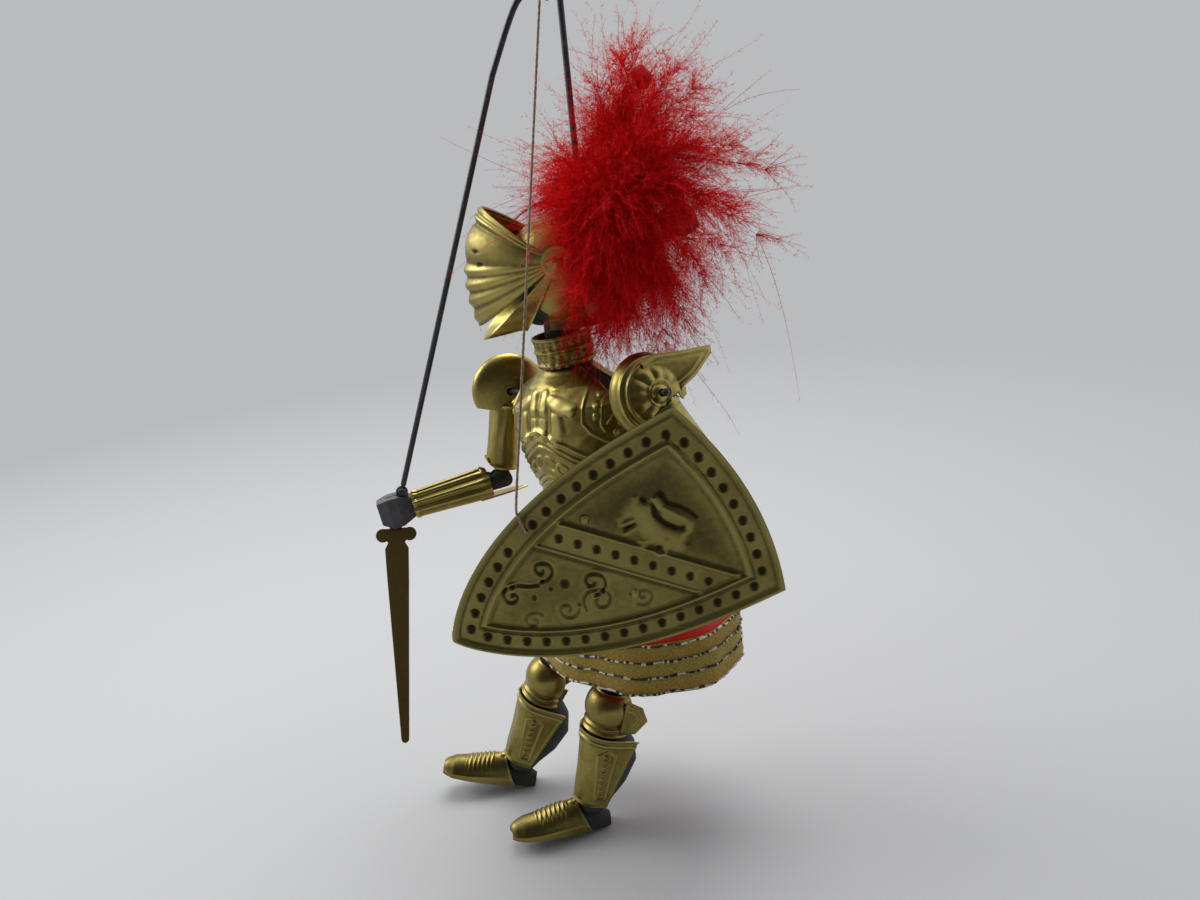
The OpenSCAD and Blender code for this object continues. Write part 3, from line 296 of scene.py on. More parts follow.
eye_knot = tied_knot("twine_eye_knot", start, 0.0011)
back_knot = tied_knot("twine_back_knot", hole_back, 0.0012)
eye_ring = np.array((0.0, -0.0060422, -0.0072008))
eye_out = eye_ring / np.linalg.norm(eye_ring)
loop_turn = np.radians(np.linspace(90, 450, 60))[:, None]
loop_path = eye_ring + 0.002 * (np.cos(loop_turn) * np.array((1.0, 0, 0)) + np.sin(loop_turn) * eye_out)
eye_loop = laid_rope("twine_eye_loop", loop_path, string_d, twist_pitch)
tail_path = rounded([hole_back, hole_back + (-0.002, 0.0015, 0.0), hole_back + (-0.0045, 0.001, -0.002),
                     hole_back + (-0.007, 0.003, -0.0015)], 3)
tail = laid_rope("twine_tail", tail_path, string_d, twist_pitch)


def hinge(name, degrees):
    """The move that a joint makes from rest."""
    joint = next(j for j in frame["joints"] if j["name"] == name)
    at = Vector(joint["pos_m"])
    turn = Matrix.Rotation(math.radians(degrees), 4, Vector(joint["axis"]))
    return Matrix.Translation(at) @ turn @ Matrix.Translation(-at)


tied_at = Vector(bend_from)
elbow_lift, shoulder_share = 25, 0.35
lifted = hinge("left_shoulder", shoulder_share * elbow_lift) @ hinge("left_elbow", elbow_lift) @ tied_at
slack = tied_at - lifted
drop = (tied_at - Vector(start)) @ slack.normalized()
1 - slack.length / drop
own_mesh(string)
settle(string, "head_rod", "twine", "shield_string")
for piece in (eye_knot, eye_loop):
    settle(piece, "head_rod", "twine")
for piece in (back_knot, tail):
    settle(piece, "left_forearm", "twine")


# Frames of the limbs, in millimetres: the places of the pins and hooks that the cores turn on, each
# in the frame of the limb above it, as the figure hangs at rest.
def on(parent, at, turn):
    tilt = Euler([math.radians(t) for t in turn]).to_matrix().to_4x4()
    return parent @ Matrix.Translation(Vector(at)) @ tilt


sides = (("right", -1), ("left", 1))
world = Matrix.Scale(MM, 4)
head_turn = 40
hook_r = 5
head_way = math.radians(head_turn)
head = on(world, (-hook_r * math.sin(head_way), -hook_r * math.cos(head_way), -102), (0, 2, -head_turn))
torso = on(world, (-6, -13.5, -168), (3.5, -6, 0))
upper_arm = {"right": on(torso, (-52, 0, -20), (-18, 0, -29)), "left": on(torso, (52, 0, -20), (22, -9, -10))}
forearm = {"right": on(upper_arm["right"], (0, 0, -46), (-70, 0, 0)),
           "left": on(upper_arm["left"], (0, 0, -46), (-105, 0, 0))}
shield_frame = on(forearm["left"], (45, -1.5, -23.5), (16, 37, 14))
hip_place = {side: (torso @ Vector((s * 19, 0, -112))) / MM for side, s in sides}
thigh = {"right": on(on(world, hip_place["right"], (0, 0, -43)), (0, 0, 0), (-24, 0, 0)),
         "left": on(on(world, hip_place["left"], (0, 0, -26)), (0, 0, 0), (-19, 0, 0))}
shin = {side: on(thigh[side], (0, 0, -66), (bend, 0, 0)) for side, bend in (("right", 0), ("left", 2))}
foot = {side: on(shin[side], (0, 0, -53), (10, 0, 0)) for side in shin}


# Rods: dark blue-grey painted wire. The head rod is one length from the hanging eye to the hook in
# the crown; the hand rod has an eye on the right fist and is bent over beside the head rod.
wire = Finish("painted_wire", Metallic=0.0, Roughness=0.45, Coat_Weight=0.25, Coat_Roughness=0.3)
wire_place = wire.place()
wire_wear = wire.ramp(wire.noise(wire_place, 180, 8, 0.7), 0.56, 0.62)
wire.tint(wire_wear, (0.018, 0.023, 0.032), (0.075, 0.075, 0.08), 0.42, 0.2)
wire.bump(wire.noise(wire_place, 700, 4), 0.0003, 0.35)
rod_r = 1.4
hanging_eye_r = 9.4
hook_z = -97
fist_eye_r, fist_wire_r, fist_gap = 2.05, 0.98, 3.2


def bent_wire(name, points, radius, body, *nodes):
    """A round wire bent through points in millimetres."""
    path = drawn_through(np.array(points, float) * MM, 0.0006)
    last = len(path) - 1

    def ring(i, turn):
        end = 0.75 if i in (0, last) else 1.0
        return np.full(len(turn), radius * MM * end)

    settle(dress(swept(name, path, 20, ring), wire), body, "wire", *nodes)


def turned_about_z(x, y, z, degrees):
    a = math.radians(degrees)
    return (x * math.cos(a) - y * math.sin(a), x * math.sin(a) + y * math.cos(a), z)


eye_turn = np.radians(np.arange(-90, 271, 5))
eye_points = [(0.0, hanging_eye_r * math.cos(a), hanging_eye_r * math.sin(a)) for a in eye_turn]
hook_turn = np.radians(np.arange(0, 181, 6))
hook_points = [turned_about_z(0, hook_r * (math.cos(a) - 1), hook_z - hook_r * math.sin(a), -head_turn)
               for a in hook_turn]
hook_tip = turned_about_z(0, -2 * hook_r, hook_z + 4.2, -head_turn)
bent_wire("head_rod_wire", [(0, 0, -hanging_eye_r), *hook_points, hook_tip], rod_r, "head_rod", "head_rod")
bent_wire("hanging_eye_wire", eye_points, rod_r, "head_rod")

hand_pin_place = (forearm["right"] @ Vector((0, -8.4, -49.4))) / MM
rod_bends = rounded([(-33, -15, -48), (-25.5, -5.5, -22), (-22, -1, -16), (-17.5, 4, -14.5),
                     (-15, 6.5, -20)], 2)
rod_low = np.array(hand_pin_place)
rod_up = (rod_bends[0] - rod_low) / np.linalg.norm(rod_bends[0] - rod_low)
bent_wire("hand_rod_wire", [rod_low + fist_gap * rod_up, *rod_bends], rod_r, "hand_rod", "hand_rod")
fist_across = np.array(forearm["right"].to_3x3() @ Vector((1, 0, 0))) / MM
rod_side = np.cross(fist_across, rod_up)
eye_ways = np.radians(np.arange(0, 361, 10))
fist_eye = [rod_low + fist_eye_r * (rod_up * math.cos(a) + rod_side * math.sin(a)) for a in eye_ways]
bent_wire("hand_rod_eye", fist_eye, fist_wire_r, "hand_rod")


def marked(mesh, name, values):
    """Gives each point of a mesh a value that its finish can read."""
    mesh.attributes.new(name, "FLOAT", "POINT").data.foreach_set("value", values)


def placed(points, place):
    """Points carried from a frame into the one that holds it."""
    turn = np.array(place)
    return points @ turn[:3, :3].T + turn[:3, 3]


def points_of(piece):
    """The points of a piece as rows of three."""
    flat = np.empty(len(piece.data.vertices) * 3)
    piece.data.vertices.foreach_get("co", flat)
    return flat.reshape(-1, 3)


def moved_to(piece, points):
    """Moves the points of a piece to these places."""
    piece.data.vertices.foreach_set("co", points.ravel())
    piece.data.update()


def read_off(outline, at):
    """The measures of an outline, whose rows begin with a place, at the given places."""
    return [np.interp(at, outline[:, 0], part) for part in outline[:, 1:].T]


def oval(a, wide, fore, rear, z):
    """Points on a level line round a limb, with one reach in front and another behind."""
    return columns(wide * np.sin(a), -np.where(np.cos(a) > 0, fore, rear) * np.cos(a), z)


def edit_mesh(step, **settings):
    """One step of mesh editing on the whole of the active piece."""
    bpy.ops.object.mode_set(mode="EDIT")
    bpy.ops.mesh.select_all(action="SELECT")
    step(**settings)
    bpy.ops.object.mode_set(mode="OBJECT")


def pressed_sheet(name, place, surface, grid, thick, inside, finish, body, slot, *nodes, closed=False):
    """A flat grid pressed to shape: surface(u, v) gives its points in mm and how far each is raised, from
    which the brass finishes paint shade and highlight.
    """
    bpy.ops.object.select_all(action="DESELECT")
    bpy.ops.mesh.primitive_grid_add(x_subdivisions=grid[0], y_subdivisions=grid[1], size=1)
    piece = bpy.context.object
    piece.name = piece.data.name = name
    flat = points_of(piece)
    points, raised = surface(flat[:, 0] + 0.5, 0.5 - flat[:, 1])
    marked(piece.data, "relief", np.broadcast_to(raised, len(flat)).astype(float))
    moved_to(piece, placed(points, place))
    if closed:
        edit_mesh(bpy.ops.mesh.remove_doubles, threshold=1e-6)
    faces = len(piece.data.polygons)
    normal, middle = np.empty(faces * 3), np.empty(faces * 3)
    piece.data.polygons.foreach_get("normal", normal)
    piece.data.polygons.foreach_get("center", middle)
    core = np.array(place @ Vector(inside))
    if (normal.reshape(-1, 3) * (middle.reshape(-1, 3) - core)).sum() < 0:
        edit_mesh(bpy.ops.mesh.flip_normals)
    wall = piece.modifiers.new("wall", "SOLIDIFY")
    wall.thickness = thick * MM
    wall.offset = -1
    bpy.ops.object.modifier_apply(modifier=wall.name)
    bpy.ops.object.shade_smooth_by_angle(angle=math.radians(50))
    return settle(dress(piece, finish), body, slot, *nodes)


def worn_brass_with_relief_shade(name, highlight_tone, body_tone, dull, rough, tarnish):
    """Satin sheet brass under soft clouds of patina, with painted shade where pressed in and a painted
    highlight where raised.
    """
    made = Finish(name, Metallic=1.0)
    place = made.place()
    cloud = made.noise(place, 45, 5, 0.55)
    grime = made.noise(place, 380, 5, 0.6)
    fine = made.noise(place, 2400, 3)
    raised = made.node("Attribute", out="Fac", attribute_name="relief")
    patina = ((cloud - 0.5) * 2.0 + (grime - 0.5) * 0.7 + tarnish).clamped()
    # Painted shade: pressed-in parts are darkened towards a near-black brown
    pressed_in_shade = (raised * -1.5 - 0.05 + (grime - 0.5) * 0.4).clamped()
    # Painted highlight: raised parts are lightened towards the highlight tone
    raised_highlight = (raised * 0.8 + (grime - 0.5) * 0.5 - 0.08).clamped()
    tone = made.blend(patina, body_tone, dull)
    tone = made.blend(raised_highlight, tone, highlight_tone)
    # The near-black brown is the colour of the painted shade
    made.put("Base Color", made.blend(pressed_in_shade, tone, (0.035, 0.026, 0.012)))
    made.put("Roughness", (rough + patina * 0.12 + pressed_in_shade * 0.25 - raised_highlight * 0.06 + (fine - 0.5) * 0.1).clamped())
    made.bump(cloud * 0.6 + grime * 0.22 + fine * 0.07, 0.0005, 0.45)
    return made


brass = worn_brass_with_relief_shade("yellow_brass", (0.62, 0.52, 0.18), (0.40, 0.325, 0.095), (0.20, 0.155, 0.042), 0.29, 0.3)
old_brass = worn_brass_with_relief_shade("olive_brass", (0.54, 0.45, 0.15), (0.32, 0.26, 0.075), (0.155, 0.12, 0.034),
                       0.29, 0.35)


def ridge(distance, width, height):
    """A rounded raised line, at its full height where the distance is nothing."""
    return height * np.exp(-((distance / width) ** 2))


def near(x, y, path):
    """Distance of each point from an open line."""
    path = np.array(path, float)
    best = np.full(x.shape, 1e9)
    for (ax, ay), (bx, by) in zip(path[:-1], path[1:]):
        dx, dy = bx - ax, by - ay
        length = dx * dx + dy * dy + 1e-12
        t = np.clip(((x - ax) * dx + (y - ay) * dy) / length, 0, 1)
        best = np.minimum(best, np.hypot(x - ax - t * dx, y - ay - t * dy))
    return best


# Head and cores: the head is a dark core with a plain doll's face, inside a skull of sheet brass with
# a rolled neck edge. The same dark material makes the cores of the body, arms and legs, and the pins
# that join them are ends of the painted wire.
dark_core = Finish("dark_core")
core_grain = dark_core.node("Mapping", {"Vector": dark_core.place(), "Scale": (1.0, 1.0, 0.12)})
core_lines = dark_core.noise(core_grain, 900, 5, 0.7)
dark_core.tint(core_lines, (0.012, 0.014, 0.011), (0.055, 0.058, 0.045), 0.55, 0.3)
dark_core.bump(core_lines, 0.0004, 0.5)
core_parts = ("upper_arm", "forearm", "thigh", "shin")
pin_parts = ("shoulder_pin", "elbow_pin", "hip_hook", "hip_pin", "knee_pin")
for node in ("head_core", "torso_core", *[f"{side}_{part}" for part in core_parts for side, _ in sides]):
    dress(node, dark_core)
for node in ("neck_pin", "hand_pin", *[f"{side}_{part}" for part in pin_parts for side, _ in sides]):
    dress(node, wire)
for node in ("crown_eye", "visor_rivets", "plume_tube", "plate_rivets", "shield_strap"):
    dress(node, brass)
for node in ("helmet", "shield_rivets"):
    dress(node, old_brass)


# Visor: one fan of sheet brass with bellows pleats that meet in a sharp keel. A round lug on each
# cheek turns on the helmet's rivet.
pivot = (0.0, -7.5, -23.0)
visor_half = 28.4
sheet_t = 0.7
sight_holes = ((10.5, 0.38), (12.5, 0.50))


def face_sheet(up, reach, half, power, u):
    """Points across the face at an angle above level, with that reach at the keel."""
    x = half * np.sin(np.pi * (u - 0.5))
    share = np.minimum(1, np.abs(x) / half)
    out = 3 + (reach - 3) * (1 - share**power) ** (1 / power)
    return columns(x, pivot[1] - out * np.cos(up), pivot[2] + out * np.sin(up))


def visor_surface(u, v):
    up = np.radians(37 - 74 * v)
    # Two close lines at the top edge, a smooth swell with the sight holes, and four soft pleats below
    lines = ridge(v - 0.03, 0.022, 1.3) + ridge(v - 0.095, 0.022, 1.1) - ridge(v - 0.15, 0.022, 0.5)
    swell = np.sin(np.pi * np.clip((v - 0.15) / 0.36, 0, 1))
    fold = np.where(v > 0.5, 0.5 - 0.5 * np.cos(2 * np.pi * 8 * (v - 0.5)), 0) ** 0.8
    reach = 38.5 + 9.5 * v**2.2 + 1.2 * lines + 1.5 * swell + 1.5 * fold + ridge(1 - v, 0.018, 1.0)
    x = visor_half * np.sin(np.pi * (u - 0.5))
    sight = np.minimum(*[np.hypot(np.abs(x) - hx, (v - hv) * 60) for hx, hv in sight_holes])
    pits = ridge(sight, 1.0, 1.0)
    # The relief value sits low except on the lines and pleat crests, and lowest at the sight holes, so the
    # brass paints the pleats' valleys and the holes dark: painted shade
    raised = np.maximum(lines, 0.8 * fold) * 0.8 + 0.25 * swell - 0.42 - 1.5 * pits
    return face_sheet(up, reach - 0.9 * pits, visor_half + sheet_t / 2, 1.6, u), raised


def lug_surface(s, u, v):
    turn = 2 * np.pi * u
    r = 1.3 + 5.7 * v
    dome = 0.35 * np.cos(np.pi * v / 2)
    x = s * (visor_half + 0.35 + dome)
    point = columns(x, pivot[1] + r * np.cos(turn), pivot[2] + r * np.sin(turn))
    # The relief value rises in a ring near the lug's rim, where the shape is smooth: painted highlight
    return point, ridge(v - 0.9, 0.08, 0.6)


pressed_sheet("visor_fan", head, visor_surface, (64, 96), 0.9, (0, -5, -23), brass, "visor", "brass", "visor")
for side, s in sides:
    pressed_sheet(f"visor_lug_{side}", head, partial(lug_surface, s), (40, 6), 0.7, (0, pivot[1], pivot[2]),
                  brass, "visor", "brass", closed=True)


# Chin guard: a brass plate bent round the jaw and drawn out in a beak below the visor, held by the
# same rivets.
def chin_surface(u, v):
    up = np.radians(-43 - 19 * v)
    reach = 37 + 14 * (1 - v) ** 1.5
    edge = ridge(v, 0.07, 0.8) + ridge(1 - v, 0.07, 0.8)
    return face_sheet(up, reach + 0.4 * edge, 26.95, 2.6, u), edge - 0.1


pressed_sheet("chin_beak", head, chin_surface, (72, 24), 0.9, (0, -5, -23), brass,
              "head", "brass", "chin_guard")


# Plume: red marabou feathers whose quills stand in the brass tube on the crown. Every feather is a
# shaft with limp barbs, each barb carries a nap of short barbules, and soft down hides the quills.
feather = Finish("red_feather", Roughness=0.85, Specular_IOR_Level=0.2, Sheen_Weight=0.06,
                 Sheen_Tint=(1.0, 0.1, 0.1, 1.0))
depth = feather.node("Attribute", out="Fac", attribute_name="tip")
# Darker towards the roots and lighter at the tips: painted shade in the plume's core
feather.tint(depth, (0.66, 0.002, 0.003), (0.93, 0.006, 0.010))
draw = np.random.default_rng(11)
plume_root = np.array((0.0, 12.8, -5.6))
skull_centre, skull_clear = np.array((0.0, -5.0, -31.0)), 31.5
# The soft masses that the feathers fill: centre, radius, and number of feathers
plume_masses = (((0, 47, -14), 50, 26), ((0, 38, 18), 40, 14), ((0, 36, 46), 27, 7), ((0, 14, -6), 36, 16),
                ((0, 22, -40), 38, 16), ((0, -4, -12), 30, 9), ((30, 8, -38), 20, 9), ((-30, 8, -38), 20, 8),
                ((14, 30, -56), 34, 13))
plume_parts = 13
barbs_each = 112
barb_steps, shaft_steps = 8, 30
golden_turn = 2.399963
plume_front, plume_low = -4.0, -72.0
nap_each = 38


def unit(v):
    return v / np.linalg.norm(v, axis=-1, keepdims=True)


def off_skull(points):
    """Points in the head's frame, pushed out of the helmet."""
    away = points - skull_centre
    reach = np.linalg.norm(away, axis=-1, keepdims=True)
    return skull_centre + away * np.maximum(1, skull_clear / np.maximum(reach, 1e-6))


def feather_bunch(name, ends):
    """Several feathers from the tube's mouth to the given ends, as one mesh."""
    verts, faces, tips = [], [], []
    total = 0

    def lay(points, tip, first, ribbon=True):
        """Adds triangles, or the pairs of triangles of a ribbon, from the given first corners on."""
        nonlocal total
        a = first + total
        verts.append(points)
        tips.append(tip)
        faces.append(columns(a, a + 1, a + 2))
        if ribbon:
            faces.append(columns(a + 1, a + 3, a + 2))
        total += len(points)

    for end in ends:
        root = plume_root + draw.normal(0, 0.8, 3)
        span = np.linalg.norm(end - root)
        rise = unit(np.array((0.5 * end[0] / 30, 0.35, 0.9))) * span * 0.45
        t = np.linspace(0, 1, shaft_steps)[:, None]
        shaft = off_skull((1 - t) ** 2 * root + 2 * t * (1 - t) * (root + rise) + t**2 * end)
        way = unit(np.gradient(shaft, axis=0))
        at = draw.uniform(0.1, 1.0, barbs_each) ** 0.75
        i = np.clip((at * (shaft_steps - 1)).astype(int), 0, shaft_steps - 2)
        base, along = shaft[i], way[i]
        spread = unit(np.cross(along, draw.normal(0, 1, (barbs_each, 3))))
        outward = unit(base - plume_heart)
        aim = unit(0.5 * along + spread * draw.uniform(0.4, 1.1, (barbs_each, 1)) + 0.45 * outward)
        length = draw.uniform(13, 26, barbs_each) * (0.8 + 0.3 * np.sin(np.pi * at))
        luck = draw.random(barbs_each)
        length *= np.where(luck < 0.03, 2.4, np.where(luck < 0.16, 1.5, 1.0))
        s = np.linspace(0, 1, barb_steps + 1)
        sag = draw.uniform(0.0, 0.4, barbs_each)
        curl = unit(draw.normal(0, 1, (barbs_each, 3))) * draw.uniform(0.1, 0.4, (barbs_each, 1))
        barb = (base[:, None] + aim[:, None] * (length[:, None] * s)[..., None]
                + curl[:, None] * (length[:, None] * s**2)[..., None])
        barb[..., 2] -= (sag * length)[:, None] * s**2
        swing = s * draw.uniform(4, 10, (barbs_each, 1))
        wave = 1.1 * np.sin(swing + draw.uniform(0, 6, (barbs_each, 1))) * s
        barb += unit(np.cross(aim, curl))[:, None] * wave[..., None]
        barb = off_skull(barb)
        # Barb ribbons
        tangent = unit(np.gradient(barb, axis=1) + 1e-6)
        flat = unit(np.cross(tangent, draw.normal(0, 1, (barbs_each, 1, 3))))
        half = (0.12 * (1 - 0.7 * s))[None, :, None]
        pair = np.stack([barb - flat * half, barb + flat * half], axis=2).reshape(-1, 3)
        first = np.arange(barbs_each)[:, None] * 2 * (barb_steps + 1) + 2 * np.arange(barb_steps)
        lay(pair, np.repeat(np.broadcast_to(s, (barbs_each, barb_steps + 1)), 2), first.ravel())
        # Barbules
        q = draw.uniform(0.0, 1.0, (barbs_each, nap_each)) * barb_steps
        k = np.minimum(q.astype(int), barb_steps - 1)
        f = (q - k)[..., None]
        row = np.arange(barbs_each)[:, None]
        foot_at = barb[row, k] * (1 - f) + barb[row, k + 1] * f
        out = unit(np.cross(tangent[row, k], draw.normal(0, 1, (barbs_each, nap_each, 3))))
        out = unit(out + 0.7 * tangent[row, k])
        reach = draw.uniform(1.8, 5.4, (barbs_each, nap_each, 1)) * (1.2 - 0.75 * q[..., None] / barb_steps)
        side = unit(np.cross(out, draw.normal(0, 1, (barbs_each, nap_each, 3)))) * 0.075
        trio = np.stack([foot_at - side, foot_at + side, foot_at + out * reach], axis=2).reshape(-1, 3)
        lay(trio, np.repeat((q / barb_steps).ravel(), 3), np.arange(0, len(trio), 3), ribbon=False)
        # Shaft
        thick = unit(np.cross(way, (1.0, 0.2, 0.1))) * (0.3 * (1 - 0.8 * t))
        pair = columns(shaft - thick, shaft + thick).reshape(-1, 3)
        lay(pair, np.zeros(len(pair)), np.arange(0, len(pair) - 2, 2))
    points = placed(np.concatenate(verts), head)
    points = np.minimum(np.maximum(points, room_low), room_high)
    corners = np.concatenate(faces)
    mesh = bpy.data.meshes.new(name)
    mesh.vertices.add(len(points))
    mesh.vertices.foreach_set("co", points.ravel())
    mesh.loops.add(corners.size)
    mesh.loops.foreach_set("vertex_index", corners.ravel())
    mesh.polygons.add(len(corners))
    mesh.polygons.foreach_set("loop_start", np.arange(0, corners.size, 3))
    marked(mesh, "tip", np.concatenate(tips))
    mesh.update(calc_edges=True)
    return dress(linked(name, mesh), feather)


feather_room = 0.008
room_low = np.array(cad_box[0]) - feather_room
room_high = np.array(cad_box[1]) + feather_room
plume_heart = np.array((0.0, 32.0, -4.0))
shaft_ends = []
for centre, radius, count in plume_masses:
    for k in range(count):
        lift = 1 - 2 * (k + 0.5) / count
        turn = golden_turn * k + radius
        flat = math.sqrt(1 - lift * lift)
        way = np.array((flat * math.sin(turn), flat * math.cos(turn), lift))
        end = np.array(centre) + way * radius * draw.uniform(0.55, 0.95)
        end[1] = max(end[1], plume_front)
        end[2] = max(end[2], plume_low)
        shaft_ends.append(off_skull(end))
down = Finish("red_down", Roughness=0.9)
# The down is a darker red than the feathers: painted shade deep inside the plume
down.tint(down.noise(down.place(), 500, 4), (0.20, 0.001, 0.002), (0.50, 0.003, 0.005))
for k, (centre, radius, _) in enumerate(plume_masses[:4]):
    bpy.ops.mesh.primitive_ico_sphere_add(subdivisions=4, radius=1)
    tuft = bpy.context.object
    tuft.name = tuft.data.name = f"plume_down_{k + 1}"
    ball = points_of(tuft)
    lumps = 0.09 * sum(np.sin(ball @ draw.normal(0, 5, 3) + draw.uniform(0, 6)) for _ in range(6))
    ball = np.array(centre) + ball * (radius * (0.16 + 0.1 * lumps))[:, None]
    moved_to(tuft, placed(off_skull(ball), head))
    settle(dress(tuft, down), "head", "feathers")
for k in range(plume_parts):
    bunch = feather_bunch(f"plume_feathers_{k + 1}", shaft_ends[k::plume_parts])
    settle(bunch, "head", "feathers", *(["plume"] if k == 0 else []))


# Body plates: front and back stamped from sheet and joined by rivets at the sides over a dark core.
# The outline gives drop from the neck, half width, reach in front and reach behind.
body_shape = np.array([[5, 10, 10, 10], [9, 17, 13, 12], [14, 27, 18, 15], [22, 38, 22, 17],
                       [34, 38, 25, 20], [50, 33, 25, 19], [66, 27, 21, 17], [78, 24, 19, 16],
                       [86, 28, 23, 20]], float)
plates_top, plates_low = body_shape[0, 0], body_shape[-1, 0]
yoke_edge, side_edge, back_edge = 76, 91, 88


def plate_edge(drop):
    return yoke_edge + (side_edge - yoke_edge) * np.clip((drop - 30) / 15, 0, 1)


def plate_point(drop, turn, raised):
    """A point of the plates at a drop from the neck and a turn from the front, in degrees."""
    wide, fore, rear = read_off(body_shape, drop)
    a = np.radians(turn)
    way = columns(np.sin(a) / wide, -np.cos(a) / np.where(np.cos(a) > 0, fore, rear), 0)
    return oval(a, wide, fore, rear, -drop) + unit(way) * raised[:, None]


def scroll_line(centre, size, turns, start, way=1):
    """A spiral line that winds in to its centre."""
    t = np.linspace(0, 1, 26)
    a = math.radians(start) + way * t * turns * 2 * np.pi
    r = size * (1 - 0.85 * t)
    return columns(centre[0] + r * np.cos(a), centre[1] + r * np.sin(a))


def boss(x, y, at, r, height):
    """A round raised stud."""
    return height * np.sqrt(np.clip(1 - ((x - at[0]) ** 2 + (y - at[1]) ** 2) / (r * r), 0, 1))


def raised_stroke(x, y, line, radius, height):
    """A broad soft line with steep sides."""
    return height * np.exp(-((near(x, y, line) / radius) ** 4))


def chest_relief(x, y):
    """Height of the front plate's stamping at x across and y down."""
    side = np.abs(x)
    # A panel on each breast between raised lines, with two studded straps in a V and a boss between them
    border = near(side, y, [(25, 8), (23.4, 18), (22.8, 28.4), (26.5, 33), (31, 36.4), (36, 40), (44, 36),
                            (54, 24)])
    h = ridge(border, 0.75, 1.1) - ridge(border - 1.7, 0.75, 0.8)
    for line in ([(37, 10), (34.4, 16), (32.5, 23.5), (31.4, 30), (33, 33)],
                 [(34.8, 30), (40, 25.2), (46.4, 18)]):
        d = near(side, y, line)
        h += ridge(d, 0.6, 0.9) - ridge(d - 1.4, 0.6, 0.35)
    for at in ((32.2, 12.8), (30.7, 17.2), (29.8, 21.6), (29.2, 26.2), (38.4, 34.6), (41.8, 31.0),
               (45.0, 27.6), (48.2, 24.2)):
        ring = ridge(np.hypot(side - at[0], y - at[1]) - 2.3, 0.5, 0.4)
        h = np.maximum(h, boss(side, y, at, 1.7, 1.4) - ring)
    h = np.maximum(h, boss(side, y, (42.6, 16.4), 2.3, 1.5))
    # Leaf ornament down the middle: broad soft leaves that curl to a boss
    for line, r, height in (([(2, 10), (8, 11.5), (12, 9)], 2.6, 1.0),
                            ([(7.6, 18), (12, 20.6), (17, 22.6)], 2.9, 1.6), ([(3.4, 16), (3, 23)], 2.4, 1.3),
                            ([(9.6, 26.5), (10.4, 31), (9, 35)], 3.4, 1.2),
                            ([(2.8, 27.5), (2.4, 33)], 2.6, 1.0)):
        h = np.maximum(h, raised_stroke(side, y, line, r, height))
    for line in ([(5.5, 14.6), (9.6, 15.8), (13.6, 14.4)], [(6.4, 23.5), (6.8, 29), (6, 34)],
                 [(14.6, 25), (17.6, 28), (16.6, 33)]):
        h -= ridge(near(side, y, line), 1.0, 0.9)
    # A belt of raised lines that fall to the hips, with ringed dots and a beaded line below it
    fall = y - 0.66 * np.sqrt(side**2 + 9) + 2
    for level, width, height in ((31, 1.0, 1.5), (35.4, 0.8, 1.1), (38.2, 0.7, 1.0), (52.5, 0.9, 1.0),
                                 (55.2, 0.8, 0.9)):
        h += ridge(fall - level, width, height) - ridge(fall - level - 1.7, 0.7, 0.4)
    pitch = 6.4
    cell = np.mod(side, pitch) - pitch / 2
    d = np.hypot(cell, fall - 45.4)
    h += ridge(d - 2.9, 0.55, 0.8) - ridge(d, 1.5, 1.1)
    # Hanging leaves below the waist
    leaf = np.mod(x, 5.4) - 2.7
    return h + np.where(y > 75, ridge(leaf, 1.1, 0.9) * np.clip((y - 75) / 3, 0, 1), 0)


def plate_surface(middle, relief, u, v):
    drop = plates_top + (plates_low - plates_top) * v
    edge = plate_edge(drop) if middle == 0 else np.minimum(back_edge, plate_edge(drop))
    turn = middle + (2 * u - 1) * edge
    x = np.radians(turn - middle) * read_off(body_shape, drop)[0] * 0.85
    h = relief(x, drop) * np.clip((drop - 11) / 4, 0, 1)
    rim = ridge((1 - np.abs(2 * u - 1)) * edge, 2.2, 0.6)
    rim = rim + ridge(v, 0.014, 0.5) + ridge(1 - v, 0.014, 0.6)
    h = np.maximum(h, rim)
    dents = 0.14 * np.sin(x * 0.45 + np.sin(drop * 0.35) * 1.5) * np.sin(drop * 0.4 + x * 0.2)
    return plate_point(drop, turn, 0.75 * h + dents), h * 0.75 - 0.05


def back_relief(x, y):
    """The back plate's plainer stamping: a spine ridge, two bands and pressed lines."""
    h = ridge(x, 1.0, 0.8)
    for level in (30.0, 33.0, 55.5, 59.0, 70.5, 73.5):
        h = np.maximum(h, ridge(y - level, 0.8, 0.8))
    for s in (-1, 1):
        h = np.maximum(h, ridge(near(x, y, scroll_line((s * 11, 45), 7, 1.4, 90, s)), 0.9, 0.8))
    return h


pressed_sheet("breastplate_skin", torso, partial(plate_surface, 0, chest_relief), (250, 180), 0.7,
              (0, 0, -45), old_brass, "torso", "old_brass", "breastplate")
pressed_sheet("backplate_skin", torso, partial(plate_surface, 180, back_relief), (130, 110), 0.7,
              (0, 0, -45), old_brass, "torso", "old_brass", "backplate")


# Gorget: the neck guard, a brass collar stamped like mail between three beads. It stands on the
# shoulders of the plates.
mail_brass = worn_brass_with_relief_shade("mail_brass", (0.56, 0.46, 0.16), (0.36, 0.28, 0.085), (0.17, 0.13, 0.04), 0.36, 0.4)
links = mail_brass.node("TexVoronoi", {"Vector": mail_brass.place(), "Scale": 330.0}, feature="SMOOTH_F1")
mail_brass.bump(links, 0.0012, 0.9)
gorget_lines = (-4.5, 1.5, 7)


